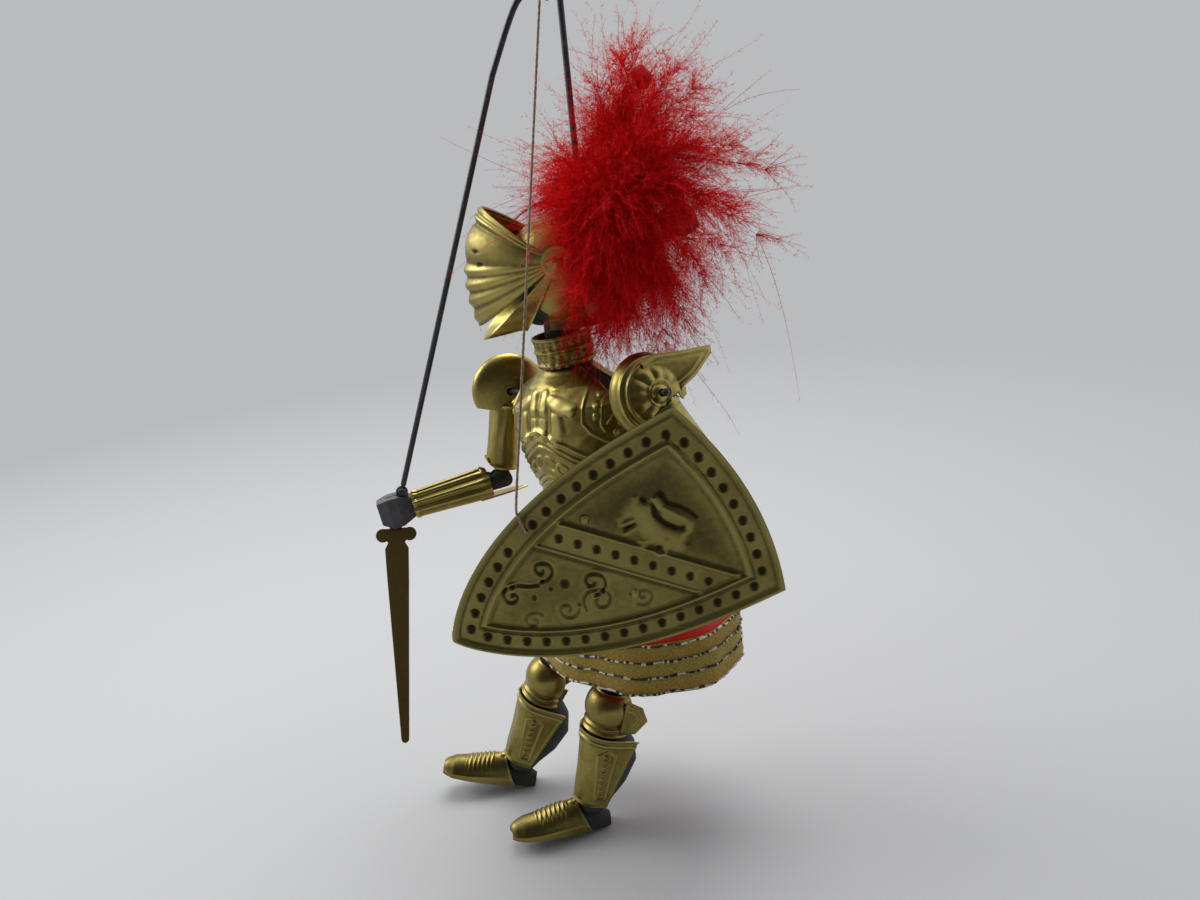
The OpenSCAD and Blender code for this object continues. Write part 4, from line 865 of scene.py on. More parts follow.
def gorget_surface(u, v):
    a = 2 * np.pi * u
    z = 8 - 14 * v
    bead = sum(ridge(z - line, 0.8, 1.1) for line in gorget_lines) + ridge(v, 0.03, 0.5)
    shift = np.where(np.mod(np.floor(z / 1.6), 2) > 0, np.pi, 0)
    link = 0.35 * np.sin(22 * a + shift) * np.sin(np.pi * z / 1.6)
    h = bead + link * (bead < 0.3)
    r = 13.1 + 0.8 * h + 0.25 * np.sin(3 * a + 1)
    return columns(r * np.sin(a), -r * np.cos(a), z), 0.7 * h - 0.1


pressed_sheet("gorget_collar", torso, gorget_surface, (180, 40), 0.6, (0, 0, 1), mail_brass, "torso", "brass",
              "gorget", closed=True)


# Skirt: red satin cloth gathered at the waist inside the plates. It flares over the hips to the
# braid's top edge, and the stiff braid makes it fall straight below that.
skirt_top, seat_in = 85, 1.8
waist = body_shape[-1]
hem_at = np.array((9, -0.5, -318))
hem_w, hem_d = 56, 44
folds = 9
cloth_t = 0.8
braid_w = 25
torso_mm = np.array(torso) / MM
skirt_fall = (torso @ Vector((0, 0, -skirt_top)))[2] / MM - hem_at[2]
braid_share = braid_w / skirt_fall


def skirt_point(t, a, grow):
    """A point of the cloth: t from waist to hem, a round the body in radians, grown outwards."""
    top = placed(oval(a, *[reach - seat_in + grow for reach in waist[1:]], -skirt_top), torso_mm)
    free = np.clip(t / (1 - braid_share), 0, 1)
    fold = 0.9 * t * np.cos(folds * a) + 1.1 * np.sin(14 * a + 1.3) * np.sin(np.pi * free)
    low = hem_at + oval(a, hem_w + fold + grow, hem_d + fold + grow, hem_d + fold + grow, 0)
    point = top + (low - top) * (free**0.8)[:, None]
    point[:, 2] = top[:, 2] + (low[:, 2] - top[:, 2]) * t
    return point


red_cloth = Finish("red_cloth", Roughness=0.55, Sheen_Weight=0.12, Sheen_Tint=(1.0, 0.2, 0.1, 1.0))
cloth_place = red_cloth.place()
weave_u, weave_v = [red_cloth.node("TexWave", {"Vector": cloth_place, "Scale": 420.0}, bands_direction=way,
                                   wave_type="BANDS") for way in ("Z", "DIAGONAL")]
red_cloth.tint(red_cloth.noise(cloth_place, 60, 4), (0.50, 0.004, 0.003), (0.80, 0.012, 0.006), 0.45, 0.25)
red_cloth.bump(weave_u * 0.5 + weave_v * 0.5, 0.0002, 0.4)


def skirt_surface(u, v):
    return skirt_point(v, 2 * np.pi * u, 0), 0 * u


skirt_cloth = pressed_sheet("skirt_cloth", world, skirt_surface, (288, 48), cloth_t,
                            tuple(hem_at + (0, 0, 40)), red_cloth, "torso", "red_cloth", "skirt", closed=True)


# Braid: gold brocade ribbon sewn round the hem, three woven bands between stitched cords of mixed
# black and white thread. The weft runs along the ribbon and glints.
brocade = Finish("gold_brocade", Specular_IOR_Level=0.15)
brocade_uv = brocade.node("UVMap", uv_map="UVMap")
thread_map = brocade.node("Mapping", {"Vector": brocade_uv, "Scale": (70.0, 46.0, 1.0)})
weft = brocade.ramp(brocade.noise(thread_map, 3.0, 4, 0.7), 0.38, 0.62)
warp_map = brocade.node("Mapping", {"Vector": brocade_uv, "Scale": (420.0, 12.0, 1.0)})
warp = brocade.noise(warp_map, 1.0, 3)
row_of = brocade.node("SeparateXYZ", {"Vector": brocade_uv}, out=1)
row_wave = brocade.node("Math", {0: row_of * 9.42 + 0.5}, operation="SINE")
rose = (row_wave * 0.5 + brocade.noise(warp_map, 0.12, 3) - 0.55).clamped()
gold_thread = brocade.blend(weft, (0.20, 0.13, 0.012), (0.86, 0.66, 0.15))
rose_thread = brocade.blend(weft, (0.34, 0.08, 0.012), (0.78, 0.40, 0.09))
brocade.tint(rose * 0.75, gold_thread, rose_thread)
brocade.put("Metallic", weft * 0.2)
brocade.put("Roughness", 0.62 - weft * 0.2)
brocade.bump(weft * 0.7 + warp * 0.3, 0.0005, 0.9)


def braid_surface(u, v):
    t = 1 - braid_share * (1 - v)
    puff = 0.55 + 0.45 * np.abs(np.sin(3 * np.pi * v)) ** 0.7
    wrinkle = 0.5 * np.sin(60 * u + 3 * np.sin(25 * u)) * np.sin(np.pi * v)
    crease = 0.25 * np.sin(5 * np.pi * v + 2.0 * np.sin(20 * u))
    return skirt_point(t, 2 * np.pi * u, 1.05 * puff + 0.4 * wrinkle + 0.3 * crease), 0 * u


braid = pressed_sheet("hem_brocade", world, braid_surface, (480, 40), 0.9, tuple(hem_at + (0, 0, 10)),
                      brocade, "torso", "brocade", "hem_braid", closed=True)
stitch = Finish("black_and_white_cord", Roughness=0.7)
stitch_tone = stitch.ramp(stitch.node("Attribute", out="Fac", attribute_name="colour"), 0.42, 0.55)
stitch.tint(stitch_tone, (0.025, 0.02, 0.018), (0.66, 0.60, 0.50))
# Where each stitched cord lies across the braid, and how much darker its thread is
cord_rows = ((0.03, 0.0), (0.34, 0.12), (0.64, 0.12), (0.965, -0.1))
cord_steps, cord_sides, cord_r = 900, 6, 0.00085


def by_chance(chance, every, low, high):
    """A level at each step of a cord, drawn anew every few steps."""
    knots = np.arange(0, cord_steps + every + 1, every)
    return np.interp(np.arange(cord_steps + 1), knots, chance.uniform(low, high, len(knots)))


def cord_ring(wide, i, turn):
    return np.full(len(turn), cord_r * wide[i])


for k, (v, darker) in enumerate(cord_rows):
    a = np.linspace(0, 2 * np.pi, cord_steps, endpoint=False)
    drift = 0.006 * np.sin(7 * a + k) + 0.004 * np.sin(23 * a + 2 * k)
    lay = skirt_point(1 - braid_share * (1 - v) + drift, a, 1.05 + 0.2 * np.sin(30 * a + k))
    path = np.concatenate([lay, lay[:1]]) * MM
    chance = np.random.default_rng(40 + k)
    beads = by_chance(chance, 3, 0.0, 1.0)
    wide = by_chance(chance, 5, 0.25, 1.0)
    piece = dress(swept(f"hem_cord_{k + 1}", path, cord_sides, partial(cord_ring, wide)), stitch)
    marked(piece.data, "colour", np.repeat(beads - darker, cord_sides))
    settle(piece, "torso", "brocade")


# Pauldrons: round brass cups raised in rings and petals to a boss, on the ends of the shoulder wires.
# They close in towards the body, are open below for the arm, and have a pointed wing behind.
pauldron_r, pauldron_h = 17, 12
cup_x = 5.2 + 3 - pauldron_h
cup_rim = pauldron_r + 0.8
cup_in = 9.5 + cup_x
cup_hem = 10
arm_top, arm_clear = 5.15, 9.45
wing_x = 4
wing_line = [(2, 14.5), (9, 14), (20, 7), (35, -1), (33, -4), (20, -6.5), (10.2, -6.3)]


def cup_open(r, x):
    """How far round from its top the cup runs: to its hem, or to the cut round the arm and its sleeve."""
    hem = np.where(r > cup_hem, np.arccos(-cup_hem / np.maximum(r, cup_hem)), np.pi)
    wide = np.sqrt(np.clip(arm_clear**2 - x**2, 0, None))
    low = np.arccos(-arm_top / np.maximum(r, arm_top))
    beside = r * np.sin(low) > wide
    cut = np.where(beside, np.pi - np.arcsin(np.clip(wide / r, 0, 1)), low)
    return np.minimum(hem, np.where(r < arm_top, np.pi, cut))


def pauldron_surface(s, u, v):
    face = v < 0.62
    lean = np.radians(5.5 + 84.5 * v / 0.62)
    back = np.radians(84 * np.clip((v - 0.62) / 0.38, 0, 1))
    r = cup_rim * np.where(face, np.sin(lean), np.cos(back))
    x = cup_x + np.where(face, (pauldron_h - 1) * np.cos(lean), -cup_in * np.sin(back))
    turn = (2 * u - 1) * cup_open(r, x)
    h = ridge(r - 15.6, 0.55, 0.9) + ridge(r - 13.4, 0.5, 0.7) + ridge(r - 5.2, 0.5, 0.5)
    h += 0.8 * np.abs(np.cos(4.5 * turn)) * ridge(r - 9.2, 3.2, 1.0)
    h = np.where(face, h, 0) + ridge(v - 0.62, 0.03, 0.5)
    stud = 2.1 * np.sqrt(np.clip(1 - (r / 4.2) ** 2, 0, 1)) * face
    x = x + np.where(face, np.cos(lean), 0) * h + stud
    r = r + np.where(face, np.sin(lean), 0.3) * h
    return columns(s * x, r * np.sin(turn), r * np.cos(turn)), h * 0.7 + 0.3 * stud - 0.1


def wing_points(line, root, u, v):
    """A flat wing from its root to the points of its outline."""
    line = np.array(line, float)
    run = run_along(line)
    outer = at_run(line, run, u * run[-1])
    inner = root(outer)
    return inner + (outer - inner) * v[:, None]


def wing_surface(s, u, v):
    point = wing_points(wing_line, lambda outer: 11.6 * unit(outer), u, v)
    rim = np.minimum(near(point[:, 0], point[:, 1], wing_line), 9)
    h = ridge(rim - 1.2, 0.6, 0.7) + ridge(rim - 3.6, 0.6, 0.5)
    x = s * (wing_x + 0.35 + 0.8 * np.sin(np.pi * v) + 0.5 * h)
    return columns(x, point[:, 0], point[:, 1]), h - 0.1


for side, s in sides:
    body = f"{side}_upper_arm"
    pressed_sheet(f"{side}_pauldron_cup", upper_arm[side], partial(pauldron_surface, s), (144, 80), 0.6,
                  (s * (cup_x + 1), 0, 0), brass, body, "brass", f"{side}_pauldron", closed=True)
    pressed_sheet(f"{side}_pauldron_wing", upper_arm[side], partial(wing_surface, s), (72, 20), 0.6,
                  (-s * 30, 14, 0), brass, body, "brass")


# Arm sleeves: brass sheet rolled round the core of the upper arm, with a bead at each end and an open
# seam behind. The lower end is cut on a slope where the elbow folds.
upper_len, plate_gap = 46, 6
elbow_rest = {"right": 70, "left": 105}
elbow_travel, elbow_margin = 25, 2.5
cut_room = 0.35


def elbow_cut(side, up):
    """Room that the inside of the bent elbow takes from a sleeve: a plane through the elbow pin."""
    half = math.radians(up * ((180 - elbow_rest[side] - elbow_travel) / 2 - elbow_margin))
    return np.array((0, -math.cos(half), -math.sin(half)))


def sleeve_surface(cut, u, v):
    top, low = -5.5, plate_gap - upper_len
    z = top + (low - top) * v
    turn = math.radians(17) + u * math.radians(326)
    bead = ridge(z + 7.5, 0.7, 0.7) + ridge(z - low - 1, 0.7, 0.7)
    r = 8.3 + bead + 0.14 * np.sin(3 * turn + z * 0.2)
    x, y = r * np.sin(turn), r * np.cos(turn)
    over = (z + upper_len) * cut[2] + y * cut[1]
    slope = -upper_len + (-cut_room - y * cut[1]) / min(cut[2], -1e-3)
    z = np.where(over > -cut_room, np.maximum(z, slope), z)
    return columns(x, y, z), bead * 0.7 - 0.05


for side, _ in sides:
    pressed_sheet(f"{side}_arm_sleeve", upper_arm[side], partial(sleeve_surface, elbow_cut(side, 1)),
                  (96, 48), 0.7, (0, 0, -20), brass, f"{side}_upper_arm", "brass", f"{side}_arm_plate")


# Forearms: fluted brass sheet rolled to a taper round the core, with its open seam on top and a bead
# at the cuff. A pointed guard stands up behind the elbow.
def guard_surface(u, v):
    z = -13 + 25 * v
    half = np.interp(z, [-13, 5, 12], [5, 3.6, 0.15])
    x = (2 * u - 1) * half
    rim = ridge((1 - np.abs(2 * u - 1)) * half, 0.5, 0.35)
    # The relief value rises down the guard's middle, where the shape has no ridge: painted highlight along
    # its crest
    return columns(x, 8.0 - 0.03 * x * x + rim, z), rim + ridge(x, 0.7, 0.4) - 0.05


def flute_surface(cut, u, v):
    z = -plate_gap - (upper_len - plate_gap) * v
    turn = math.radians(14) + u * math.radians(332)
    wide = 8.2 + (6.4 - 8.2) * v
    flute = np.cos(9 * 2 * np.pi * u - np.pi)
    bead = ridge(v - 0.97, 0.02, 0.6)
    r = wide + 0.62 * np.sign(flute) * np.abs(flute) ** 0.7 * np.clip(v * 6, 0.25, 1) + bead
    x, y = -r * np.sin(turn), -r * np.cos(turn)
    over = z * cut[2] + y * cut[1]
    slope = (-cut_room - y * cut[1]) / max(cut[2], 1e-3)
    z = np.where(over > -cut_room, np.minimum(z, slope), z)
    return columns(x, y, z), 0.3 * flute + bead


for side, _ in sides:
    pressed_sheet(f"{side}_forearm_flutes", forearm[side], partial(flute_surface, elbow_cut(side, -1)),
                  (144, 48), 0.7, (0, 0, -25), brass, f"{side}_forearm", "brass", f"{side}_forearm_plate")
    pressed_sheet(f"{side}_elbow_guard", forearm[side], guard_surface, (24, 40), 0.6, (0, -20, 0), brass,
                  f"{side}_forearm", "brass")


# Fists: cast in lead-grey metal with grooves between the fingers, and fixed to the ends of the
# forearms' cores. Their edges are worn.
lead = Finish("cast_lead", Metallic=0.75)
lead_place = lead.place()
lead_cloud = lead.noise(lead_place, 260, 5, 0.6)
lead.tint(lead_cloud, (0.045, 0.048, 0.055), (0.20, 0.20, 0.21), 0.45, 0.25)
lead.bump(lead_cloud + lead.noise(lead_place, 1500, 3) * 0.4, 0.0005, 0.6)
for side, _ in sides:
    dress(f"{side}_hand", lead)


# Sword: cut from brass sheet in one piece, with round lobes for a guard, a narrow neck and a tapering
# blade. Its grip passes through the right fist.
sword_brass = worn_brass_with_relief_shade("sword_brass", (0.40, 0.30, 0.11), (0.27, 0.195, 0.065), (0.16, 0.11, 0.035),
                         0.4, 0.4)
lobe = [(-6.6 + 3.4 * math.cos(a), 12.5 + 3.4 * math.sin(a)) for a in np.radians(np.linspace(290, 60, 15))]
tip = [(1.8 * math.sin(a), 110.7 + 1.8 * math.cos(a)) for a in np.linspace(-1.5, 1.5, 9)]
half = [(-3, -6.5), (-3, 9.3)] + lobe + [(-4.1, 16.4), (-5.75, 19.5), (-5.25, 34.5)]
outline = half + tip + [(-x, y) for x, y in reversed(half)]
sword_t = 0.0009
in_fist = on(on(forearm["right"], (0, 0, -55.4), (-13, 0, -30)), (0, 0, 0), (0, 90, 0))
bpy.ops.mesh.primitive_circle_add(vertices=len(outline), radius=1, fill_type="NGON")
blade = bpy.context.object
blade.name = blade.data.name = "sheet_sword"
for vertex, (x, y) in zip(blade.data.vertices, outline):
    vertex.co = in_fist @ Vector((x, y, 0))
blade_sheet = blade.modifiers.new("sheet", "SOLIDIFY")
blade_sheet.thickness = sword_t
blade_sheet.offset = 0
bpy.ops.object.modifier_apply(modifier=blade_sheet.name)
settle(dress(blade, sword_brass), "right_forearm", "brass", "sword")


# Shield: a heater shield stamped from one sheet and strapped to the left forearm. It has a rolled
# edge, a border of punched dots with a ridge inside it, and a bend with dots across the field.
shield_w, shield_h, crown_h = 91.5, 130, 7.8
shield_t = 1.0


def shield_half(z):
    return shield_w / 2 * np.clip(1 - np.clip(-z / shield_h, 0, 1) ** 2.6, 0, 1) ** 0.8


def shield_edge():
    z = -shield_h * (1 - np.linspace(0, 1, 40) ** 1.5)
    left = columns(-shield_half(z), z)
    x = np.linspace(-shield_w / 2, shield_w / 2, 22)[1:-1]
    top = columns(x, crown_h * (1 - (2 * x / shield_w) ** 2))
    right = columns(shield_half(z), z)[::-1]
    return np.concatenate([left, top, right])


hole_at = np.array((-27.2, -75.7))
bend_angle = math.radians(41.6)


def pressed_dot(y, z, at, r=1.8, depth=0.95):
    d = np.hypot(y - at[0], z - at[1])
    return -depth / (1 + np.exp((d - r) / 0.26)) + 0.3 * np.exp(-(((d - 1.45 * r) / 0.5) ** 2))


# A rampant beast in soft relief above the bend, with cut lines round it, and leaf scrolls below, drawn
# with a cut line beside a raised one
beast = [
    ([(-15, -34), (-14, -35.5)], 4.2, 1.3), ([(-13.5, -33), (-9.5, -32.4), (-6, -33.4)], 3.0, 1.2),
    ([(-8, -34.4), (-2, -32.6), (2.4, -29.6), (5.6, -27)], 3.9, 1.2),
    ([(-17.4, -33.4), (-19.4, -31.4)], 1.4, 1.1),
    ([(-15, -37), (-14.2, -40.6)], 1.8, 1.1), ([(-11.2, -36), (-12.2, -41.8)], 1.3, 1.1),
    ([(-8.2, -37), (-7.8, -42.4)], 1.4, 1.1), ([(0, -35), (-1.4, -40)], 1.6, 1.0),
    ([(5.2, -30.6), (6.8, -35.6)], 1.5, 1.0), ([(-12.4, -29.6), (-15.2, -28)], 1.5, 0.9),
    ([(-15.4, -25.2), (-11.4, -24.9), (-7.4, -22.6), (-3.4, -20), (0.6, -18.6), (3, -20.2), (3.6, -23),
      (5.2, -24.8)], 1.5, 1.4), ([(-6.4, -24), (-1.6, -21.4)], 2.9, 1.0)]
beast_cuts = [
    ([(-17.6, -29.4), (-13.6, -27.4), (-9.2, -28.4), (-4.2, -26.6), (-0.4, -24), (1, -21.6)], 1.1, 1.0),
    ([(-15.6, -22.2), (-11.4, -21.6), (-8.4, -18.8), (-5, -16.6), (-0.6, -15)], 0.8, 0.8),
    ([(-13, -35.8), (-13.4, -40.6)], 0.6, 0.8), ([(-9.8, -36.6), (-9.8, -41.4)], 0.6, 0.8),
    ([(-16.6, -22.4), (-16, -22)], 1.2, 0.7), ([(7.2, -24.6), (7.8, -24)], 1.3, 0.8),
    ([(1.4, -29.6), (1.8, -29.2)], 0.9, 0.7), ([(4, -34), (4.6, -33.4)], 1.0, 0.7)]
scrolls = [
    (scroll_line((-10.5, -80), 5.2, 1.2, -30), 1.0), (scroll_line((-5.8, -96.8), 4.6, 1.1, 142), 1.0),
    ([(-5.8, -82.4), (-5.2, -84.6), (-6.6, -88.2), (-9.4, -92), (-10, -94.4)], 1.0),
    (scroll_line((4.5, -65), 6.0, 1.15, -20), 1.0), (scroll_line((13.5, -67), 7.2, 1.2, 277, -1), 0.7),
    (scroll_line((8.5, -95.5), 4.6, 1.1, 100), 0.5), (scroll_line((10.5, -80.5), 4.8, 1.1, 60, -1), 0.6),
    (scroll_line((20, -50.5), 4.6, 1.1, 300), 0.55)]
scroll_pits = [((-0.5, -75.2), 1.9), ((-1.2, -81.4), 0.9), ((-1, -89.4), 1.1), ((10.5, -75), 0.8),
               ((17, -54.5), 0.8)]


def shield_dots(inset=7.5, step=8.1):
    """Places of the border's dots, evenly along a line drawn in from the edge."""
    edge = shield_edge()
    way = np.roll(edge, -1, axis=0) - np.roll(edge, 1, axis=0)
    way /= np.linalg.norm(way, axis=1)[:, None] + 1e-9
    line = edge + inset * columns(way[:, 1], -way[:, 0])
    keep = near(line[:, 0], line[:, 1], np.concatenate([edge, edge[:1]])) > inset - 0.15
    line = np.concatenate([line[keep], line[keep][:1]])
    run = run_along(line)
    dots = at_run(line, run, np.linspace(0, run[-1], round(run[-1] / step) + 1)[:-1])
    return dots[np.linalg.norm(dots - hole_at, axis=1) > 4.8]


def shield_relief(y, z):
    edge = near(y, z, np.concatenate([shield_edge(), shield_edge()[:1]]))
    h = ridge(edge - 0.6, 1.0, 0.8) - ridge(edge - 3.0, 0.6, 0.5) - ridge(edge - 10.8, 0.6, 0.5)
    h += ridge(edge - 12.7, 0.85, 0.9) - ridge(edge - 14.7, 0.7, 0.4)
    field = 1 / (1 + np.exp(-(edge - 14.6) / 0.5))
    u = y * math.cos(bend_angle) + z * math.sin(bend_angle)
    v = -y * math.sin(bend_angle) + z * math.cos(bend_angle) + 36.5
    band = 1 / (1 + np.exp((np.abs(v) - 6.6) / 0.4))
    # The field is dished, and the bend stands up from it. The dish also paints the field darker, most above
    # the bend: painted shade
    inward = np.clip(np.minimum(edge - 14.6, np.abs(v) - 6), 0, None)
    dish_and_shade = field * (1 - band) * 0.9 * (1 - np.exp(-inward / 6))
    for shift in (-6, 6):
        h += field * (ridge(v - shift, 0.75, 0.8) - ridge(v - shift * 1.3, 0.7, 0.55))
    for dot in shield_dots():
        h += pressed_dot(y, z, dot)
    for i in range(-4, 5):
        h += pressed_dot(u, v, (-27.3 + 7.8 * i, 0), 1.7, 0.9) * field
    shape = np.zeros_like(y)
    for line, radius, height in beast:
        shape = (shape**4 + raised_stroke(y, z, line, radius, height) ** 4) ** 0.25
    for line, width, deep in beast_cuts:
        shape -= ridge(near(y, z, line), width, deep)
    for line, strength in scrolls:
        d = near(y, z, line)
        shape += strength * (0.55 * ridge(d - 1.4, 0.7, 1.0) - ridge(d, 0.62, 0.9))
    for at, r in scroll_pits:
        shape += pressed_dot(y, z, at, r, 0.8)
    return h + 0.75 * shape, dish_and_shade * (0.35 + 0.65 * (v > 0))


def shield_surface(u, v):
    share = 1 - v
    z = -shield_h * (1 - share**1.35)
    half = shield_half(z) + 0.02
    y = (2 * u - 1) * half
    z = z + share**3 * crown_h * (1 - (2 * y / shield_w) ** 2)
    # The sheet is opened round the hole for the string
    away = columns(y - hole_at[0], z - hole_at[1])
    d = np.linalg.norm(away, axis=1)
    wide = np.where(d < 2.6, 1.3 + d / 2, d)
    y, z = (hole_at + away * (wide / np.maximum(d, 1e-6))[:, None]).T
    h, dish_and_shade = shield_relief(y, z)
    # The dish lowers the relief value, which paints the dished field darker: painted shade, strongest above
    # the bend
    return columns(shield_t + 0.8 * h - 0.7 * dish_and_shade, y, z), h * 0.8 - dish_and_shade * 0.55


shield_brass = worn_brass_with_relief_shade("shield_brass", (0.36, 0.31, 0.105), (0.225, 0.19, 0.058), (0.12, 0.10, 0.032),
                          0.33, 0.3)
pressed_sheet("shield_skin", shield_frame, shield_surface, (188, 250), 0.9, (-40, 0, -60), shield_brass,
              "left_forearm", "old_brass", "shield")


# Knees: domed cops of sheet brass over the knee pins, with two beads below and a pointed wing on the
# outer side. They ride the shins.
knee_r = 12.5
cop_wing = [(9, 4), (6, 12), (-1, 16), (-8, 11), (-9, 4)]


def cop_surface(u, v):
    turn = np.radians(-132 + 264 * u)
    high = np.radians(48 - 80 * np.clip(v / 0.66, 0, 1))
    skirt = np.clip((v - 0.66) / 0.34, 0, 1)
    z = knee_r * np.sin(high) - skirt * (12 - knee_r * math.sin(math.radians(32)))
    r = knee_r * np.cos(high) + skirt * (11.2 - knee_r * math.cos(math.radians(32)))
    bead = ridge(z + 7.9, 0.75, 0.9) + ridge(z + 11.0, 0.75, 0.9) + ridge(v, 0.02, 0.4)
    dent = 0.25 * np.sin(2 * turn + 0.5) * np.cos(high) * (1 - skirt)
    r = r + bead + dent
    # The relief value dips between the two beads, where the shape has no groove: painted shade in the crease
    return columns(r * np.sin(turn), -r * np.cos(turn), z), bead * 0.7 - ridge(z + 9.5, 0.5, 0.3)


def cop_wing_surface(s, u, v):
    point = wing_points(cop_wing, lambda outer: columns(outer[:, 0] * 0.7, 3.0), u, v)
    rim = near(point[:, 0], point[:, 1], cop_wing[:-1])
    h = ridge(rim - 0.5, 0.5, 0.6) + ridge(rim - 2.4, 0.5, 0.6) + ridge(rim - 4.3, 0.5, 0.5)
    x = s * (12.3 - 1.1 * v + 0.5 * h)
    return columns(x, point[:, 1], point[:, 0] - 1), h * 0.8 - 0.2


# Greaves: brass sheet bent in a U round the shin's core and open behind, with a ridge down the front
# and a roped panel on each side.
greave_top, shin_len = 12.4, 53


def greave_surface(u, v):
    drop = greave_top + (shin_len - 2 - greave_top) * v
    d = drop - greave_top
    half = 12 - 0.09 * d
    back = 13.5 - 0.2 * d
    reach = half * np.pi / 2 + back
    s = (2 * u - 1) * reach
    a = np.clip(s / half, -np.pi / 2, np.pi / 2)
    behind = np.abs(s) - half * np.pi / 2
    x = np.where(behind > 0, np.sign(s) * half, half * np.sin(a))
    y = np.where(behind > 0, behind, -half * np.cos(a))
    out_x = np.where(behind > 0, np.sign(s), np.sin(a))
    out_y = np.where(behind > 0, 0, -np.cos(a))
    h = ridge(s, 1.2, 0.8) + ridge(1 - v, 0.022, 0.7)
    h += ridge(v - 0.01, 0.025, 1.2) + ridge(v - 0.095, 0.03, 1.0)
    # Roped panel between raised lines, narrowing down the side
    middle = half * np.pi / 2 - 1 + 0.06 * d
    across = np.abs(s) - middle
    panel = [(-4.6, 10), (0, 6.5), (4.6, 10), (2.6, 34), (-2.6, 34), (-4.6, 10)]
    h = np.maximum(h, ridge(near(across, d, panel), 0.55, 0.7))
    twist = np.mod(d + 0.5 * across, 3.4) - 1.7
    rope = 0.9 * np.exp(-((twist / 0.9) ** 2)) * np.exp(-((across / 1.7) ** 4)) * (d > 9) * (d < 33)
    h = np.maximum(h, rope) + ridge(reach - np.abs(s) - 0.8, 0.5, 0.4)
    dent = 0.2 * np.sin(0.3 * s + 1.0) * np.sin(0.25 * d)
    lift = 0.8 * h + dent
    return columns(x + out_x * lift, y + out_y * lift, -drop), h * 0.75 - 0.08


# Sabatons: brass sheet pressed over the foot, with ridges across the instep and a smooth round toe.
# The outline gives the place from heel to toe, half width and height.
foot_shape = np.array([[0, 5.5, 8], [0.12, 7.2, 12], [0.3, 8, 15], [0.5, 8.6, 13], [0.7, 8.6, 10],
                       [0.88, 7.6, 8.2], [1, 4.6, 5.6]])
heel_len, foot_len, sole_drop = 8, 40, 13


def sabaton_surface(u, v):
    a = np.pi * (1 - u)
    start = 0.33 - 0.16 * (1 - np.sin(a))
    t = start + (1 - start) * np.clip(v / 0.93, 0, 1)
    wide, high = read_off(foot_shape, t)
    # The toe closes in a round end
    nose = np.clip((v - 0.86) / 0.14, 0, 1)
    close = np.sqrt(np.clip(1 - nose**2, 0.0004, 1))
    lame = np.clip((t - 0.42) / 0.03, 0, 1) * np.clip((0.76 - t) / 0.03, 0, 1)
    crest = np.exp(-((np.cos(a) / 0.72) ** 4))
    h = lame * crest * 0.85 * (0.5 + 0.5 * np.cos(2 * np.pi * (t - 0.42) * 21))
    h = h + ridge(v, 0.02, 0.5) + boss(np.cos(a) * 8, (t - 0.36) * 48, (0, 0), 2.2, 0.7)
    wave = 0.35 * np.exp(-(((np.sin(a) - 0.28) / 0.1) ** 2)) * (1 - nose)
    wide, high = (wide + h * 0.6 + wave) * close, (high + h) * close
    y = heel_len - t * (heel_len + foot_len) + 1.2 * (1 - close)
    return columns(wide * np.cos(a), y, 0.3 - sole_drop + high * np.sin(a)), h * 0.8 + wave - 0.15


# Calves: the dark core swells behind the open greave and narrows to the ankle. The outline gives drop
# from the knee, half width, reach in front and reach behind.
calf_shape = np.array([[11, 8.4, 8.4, 9.5], [18, 10.1, 9.8, 16], [28, 9.2, 9.2, 19], [40, 8.2, 8.2, 16],
                       [50, 6.7, 7, 10.5], [56, 6, 6, 8]])


def calf_surface(u, v):
    drop = 11 + 45 * np.clip((v - 0.08) / 0.84, 0, 1)
    wide, fore, rear = read_off(calf_shape, drop)
    share = np.clip(np.minimum(v, 1 - v) / 0.08, 0.03, 1) ** 0.5
    a = 2 * np.pi * u
    return oval(a, share * wide, share * fore, share * rear, -drop), 0 * u


for side, s in sides:
    body = f"{side}_shin"
    pressed_sheet(f"{side}_calf", shin[side], calf_surface, (60, 48), 0.5, (0, 0, -30), dark_core,
                  body, "core", closed=True)
    pressed_sheet(f"{side}_knee_dome", shin[side], cop_surface, (96, 64), 0.7, (0, 0, -2), old_brass,
                  body, "brass", f"{side}_knee_cop")
    pressed_sheet(f"{side}_knee_wing", shin[side], partial(cop_wing_surface, s), (64, 24), 0.6,
                  (-s * 20, 8, 0), old_brass, body, "brass")
    pressed_sheet(f"{side}_greave_plate", shin[side], greave_surface, (120, 90), 0.7, (0, 2, -30), old_brass,
                  body, "old_brass", f"{side}_greave")
    pressed_sheet(f"{side}_sabaton_lames", foot[side], sabaton_surface, (72, 130), 0.7, (0, -14, -12),
                  old_brass, body, "brass", f"{side}_sabaton")


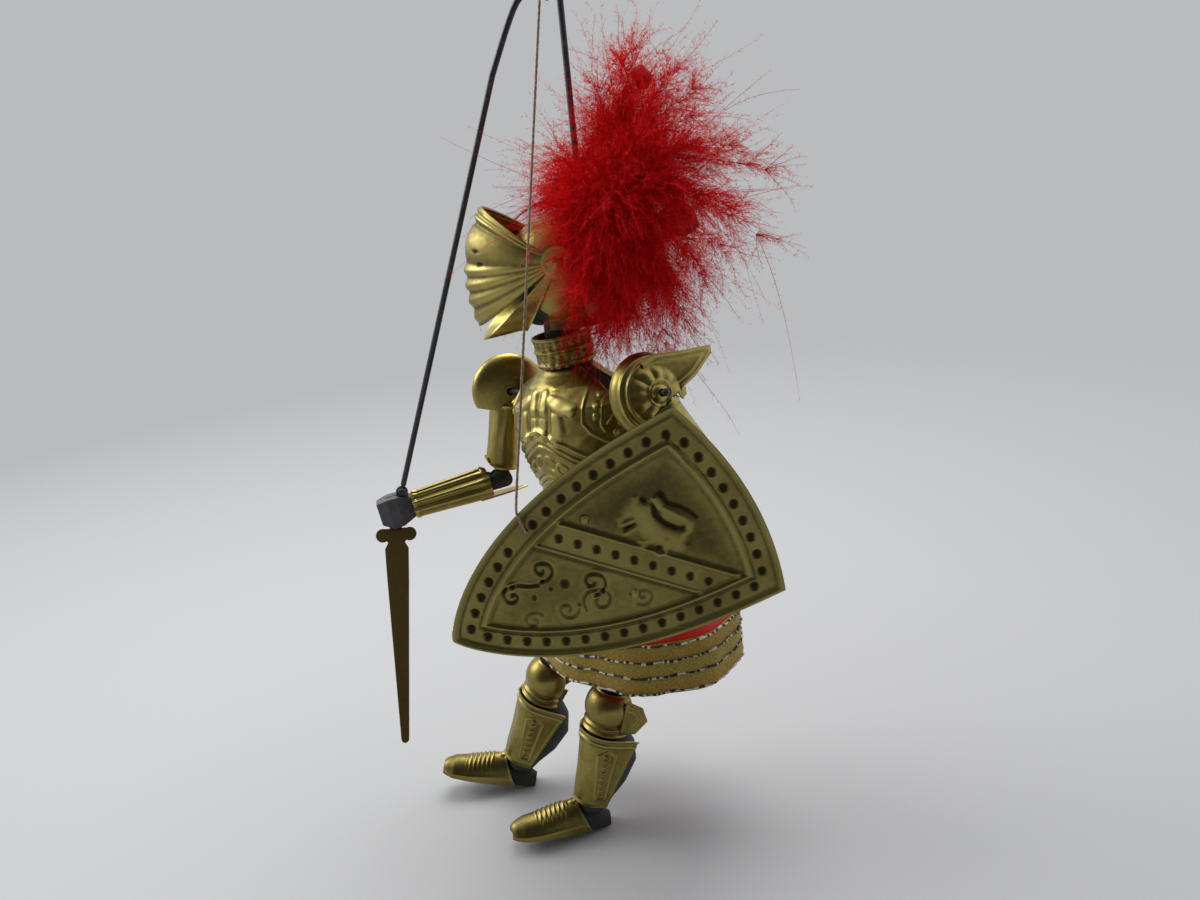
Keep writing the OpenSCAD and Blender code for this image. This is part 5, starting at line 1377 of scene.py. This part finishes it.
# Studio: a pale floor that fades into the backdrop, two soft lamps, and a pale tent that is open
# and darker on one side.
floor_z = cad_box[0][2] - 0.0005
bpy.ops.mesh.primitive_plane_add(size=12, location=(0, 0, floor_z))
floor = bpy.context.object
floor.name = "studio_floor"
backdrop = (0.490, 0.496, 0.506)
pale = Finish("pale_floor", Roughness=0.85, Base_Color=(0.50, 0.503, 0.508, 1.0))
from_middle = pale.node("VectorMath", {0: pale.place()}, out=1, operation="LENGTH")
seen = pale.node("LightPath", out="Is Camera Ray") + pale.node("LightPath", out="Is Glossy Ray")
fade = ((from_middle - 0.30) * 1.3).clamped() * seen.clamped()
glow = pale.node("Emission", {"Color": backdrop, "Strength": 1.0})
shade = pale.node("MixShader", {0: fade, 1: Value(pale, pale.shader.outputs[0]), 2: glow})
pale.tree.links.new(shade.out, pale.tree.nodes["Material Output"].inputs["Surface"])
dress(floor, pale)


def soft_lamp(name, at, size, power):
    bpy.ops.object.light_add(type="AREA", location=at)
    lamp = bpy.context.object
    lamp.name = name
    lamp.data.shape = "DISK"
    lamp.data.size = size
    lamp.data.energy = power
    lamp.rotation_euler = (Vector((0, 0, -0.2)) - Vector(at)).to_track_quat("-Z", "Y").to_euler()


soft_lamp("top_lamp", (-0.5, 0.5, 1.2), 1.2, 15)
soft_lamp("left_lamp", (-1.1, -0.6, 0.5), 0.9, 9)
sky = bpy.data.worlds.new("pale_tent")
bpy.context.scene.world = sky
tent = Finish("pale_tent", world=sky)
opening = Vector((0.75, -0.62, 0.22)).normalized()
way_out = tent.node("TexCoord", out="Generated")
open_side = tent.node("VectorMath", {0: way_out, 1: tuple(opening)}, out=1, operation="DOT_PRODUCT")
dim = ((open_side - 0.2) * 2.2).clamped()
tent_tone = tent.blend(dim, (0.84, 0.85, 0.87), (0.05, 0.05, 0.055))
seen_far = tent.node("LightPath", out="Is Camera Ray") + tent.node("LightPath", out="Is Transmission Ray")
tent.put("Color", tent.blend(seen_far.clamped(), tent_tone, backdrop))
tent.put("Strength", 1.0)
bpy.context.scene.view_settings.view_transform = "Standard"
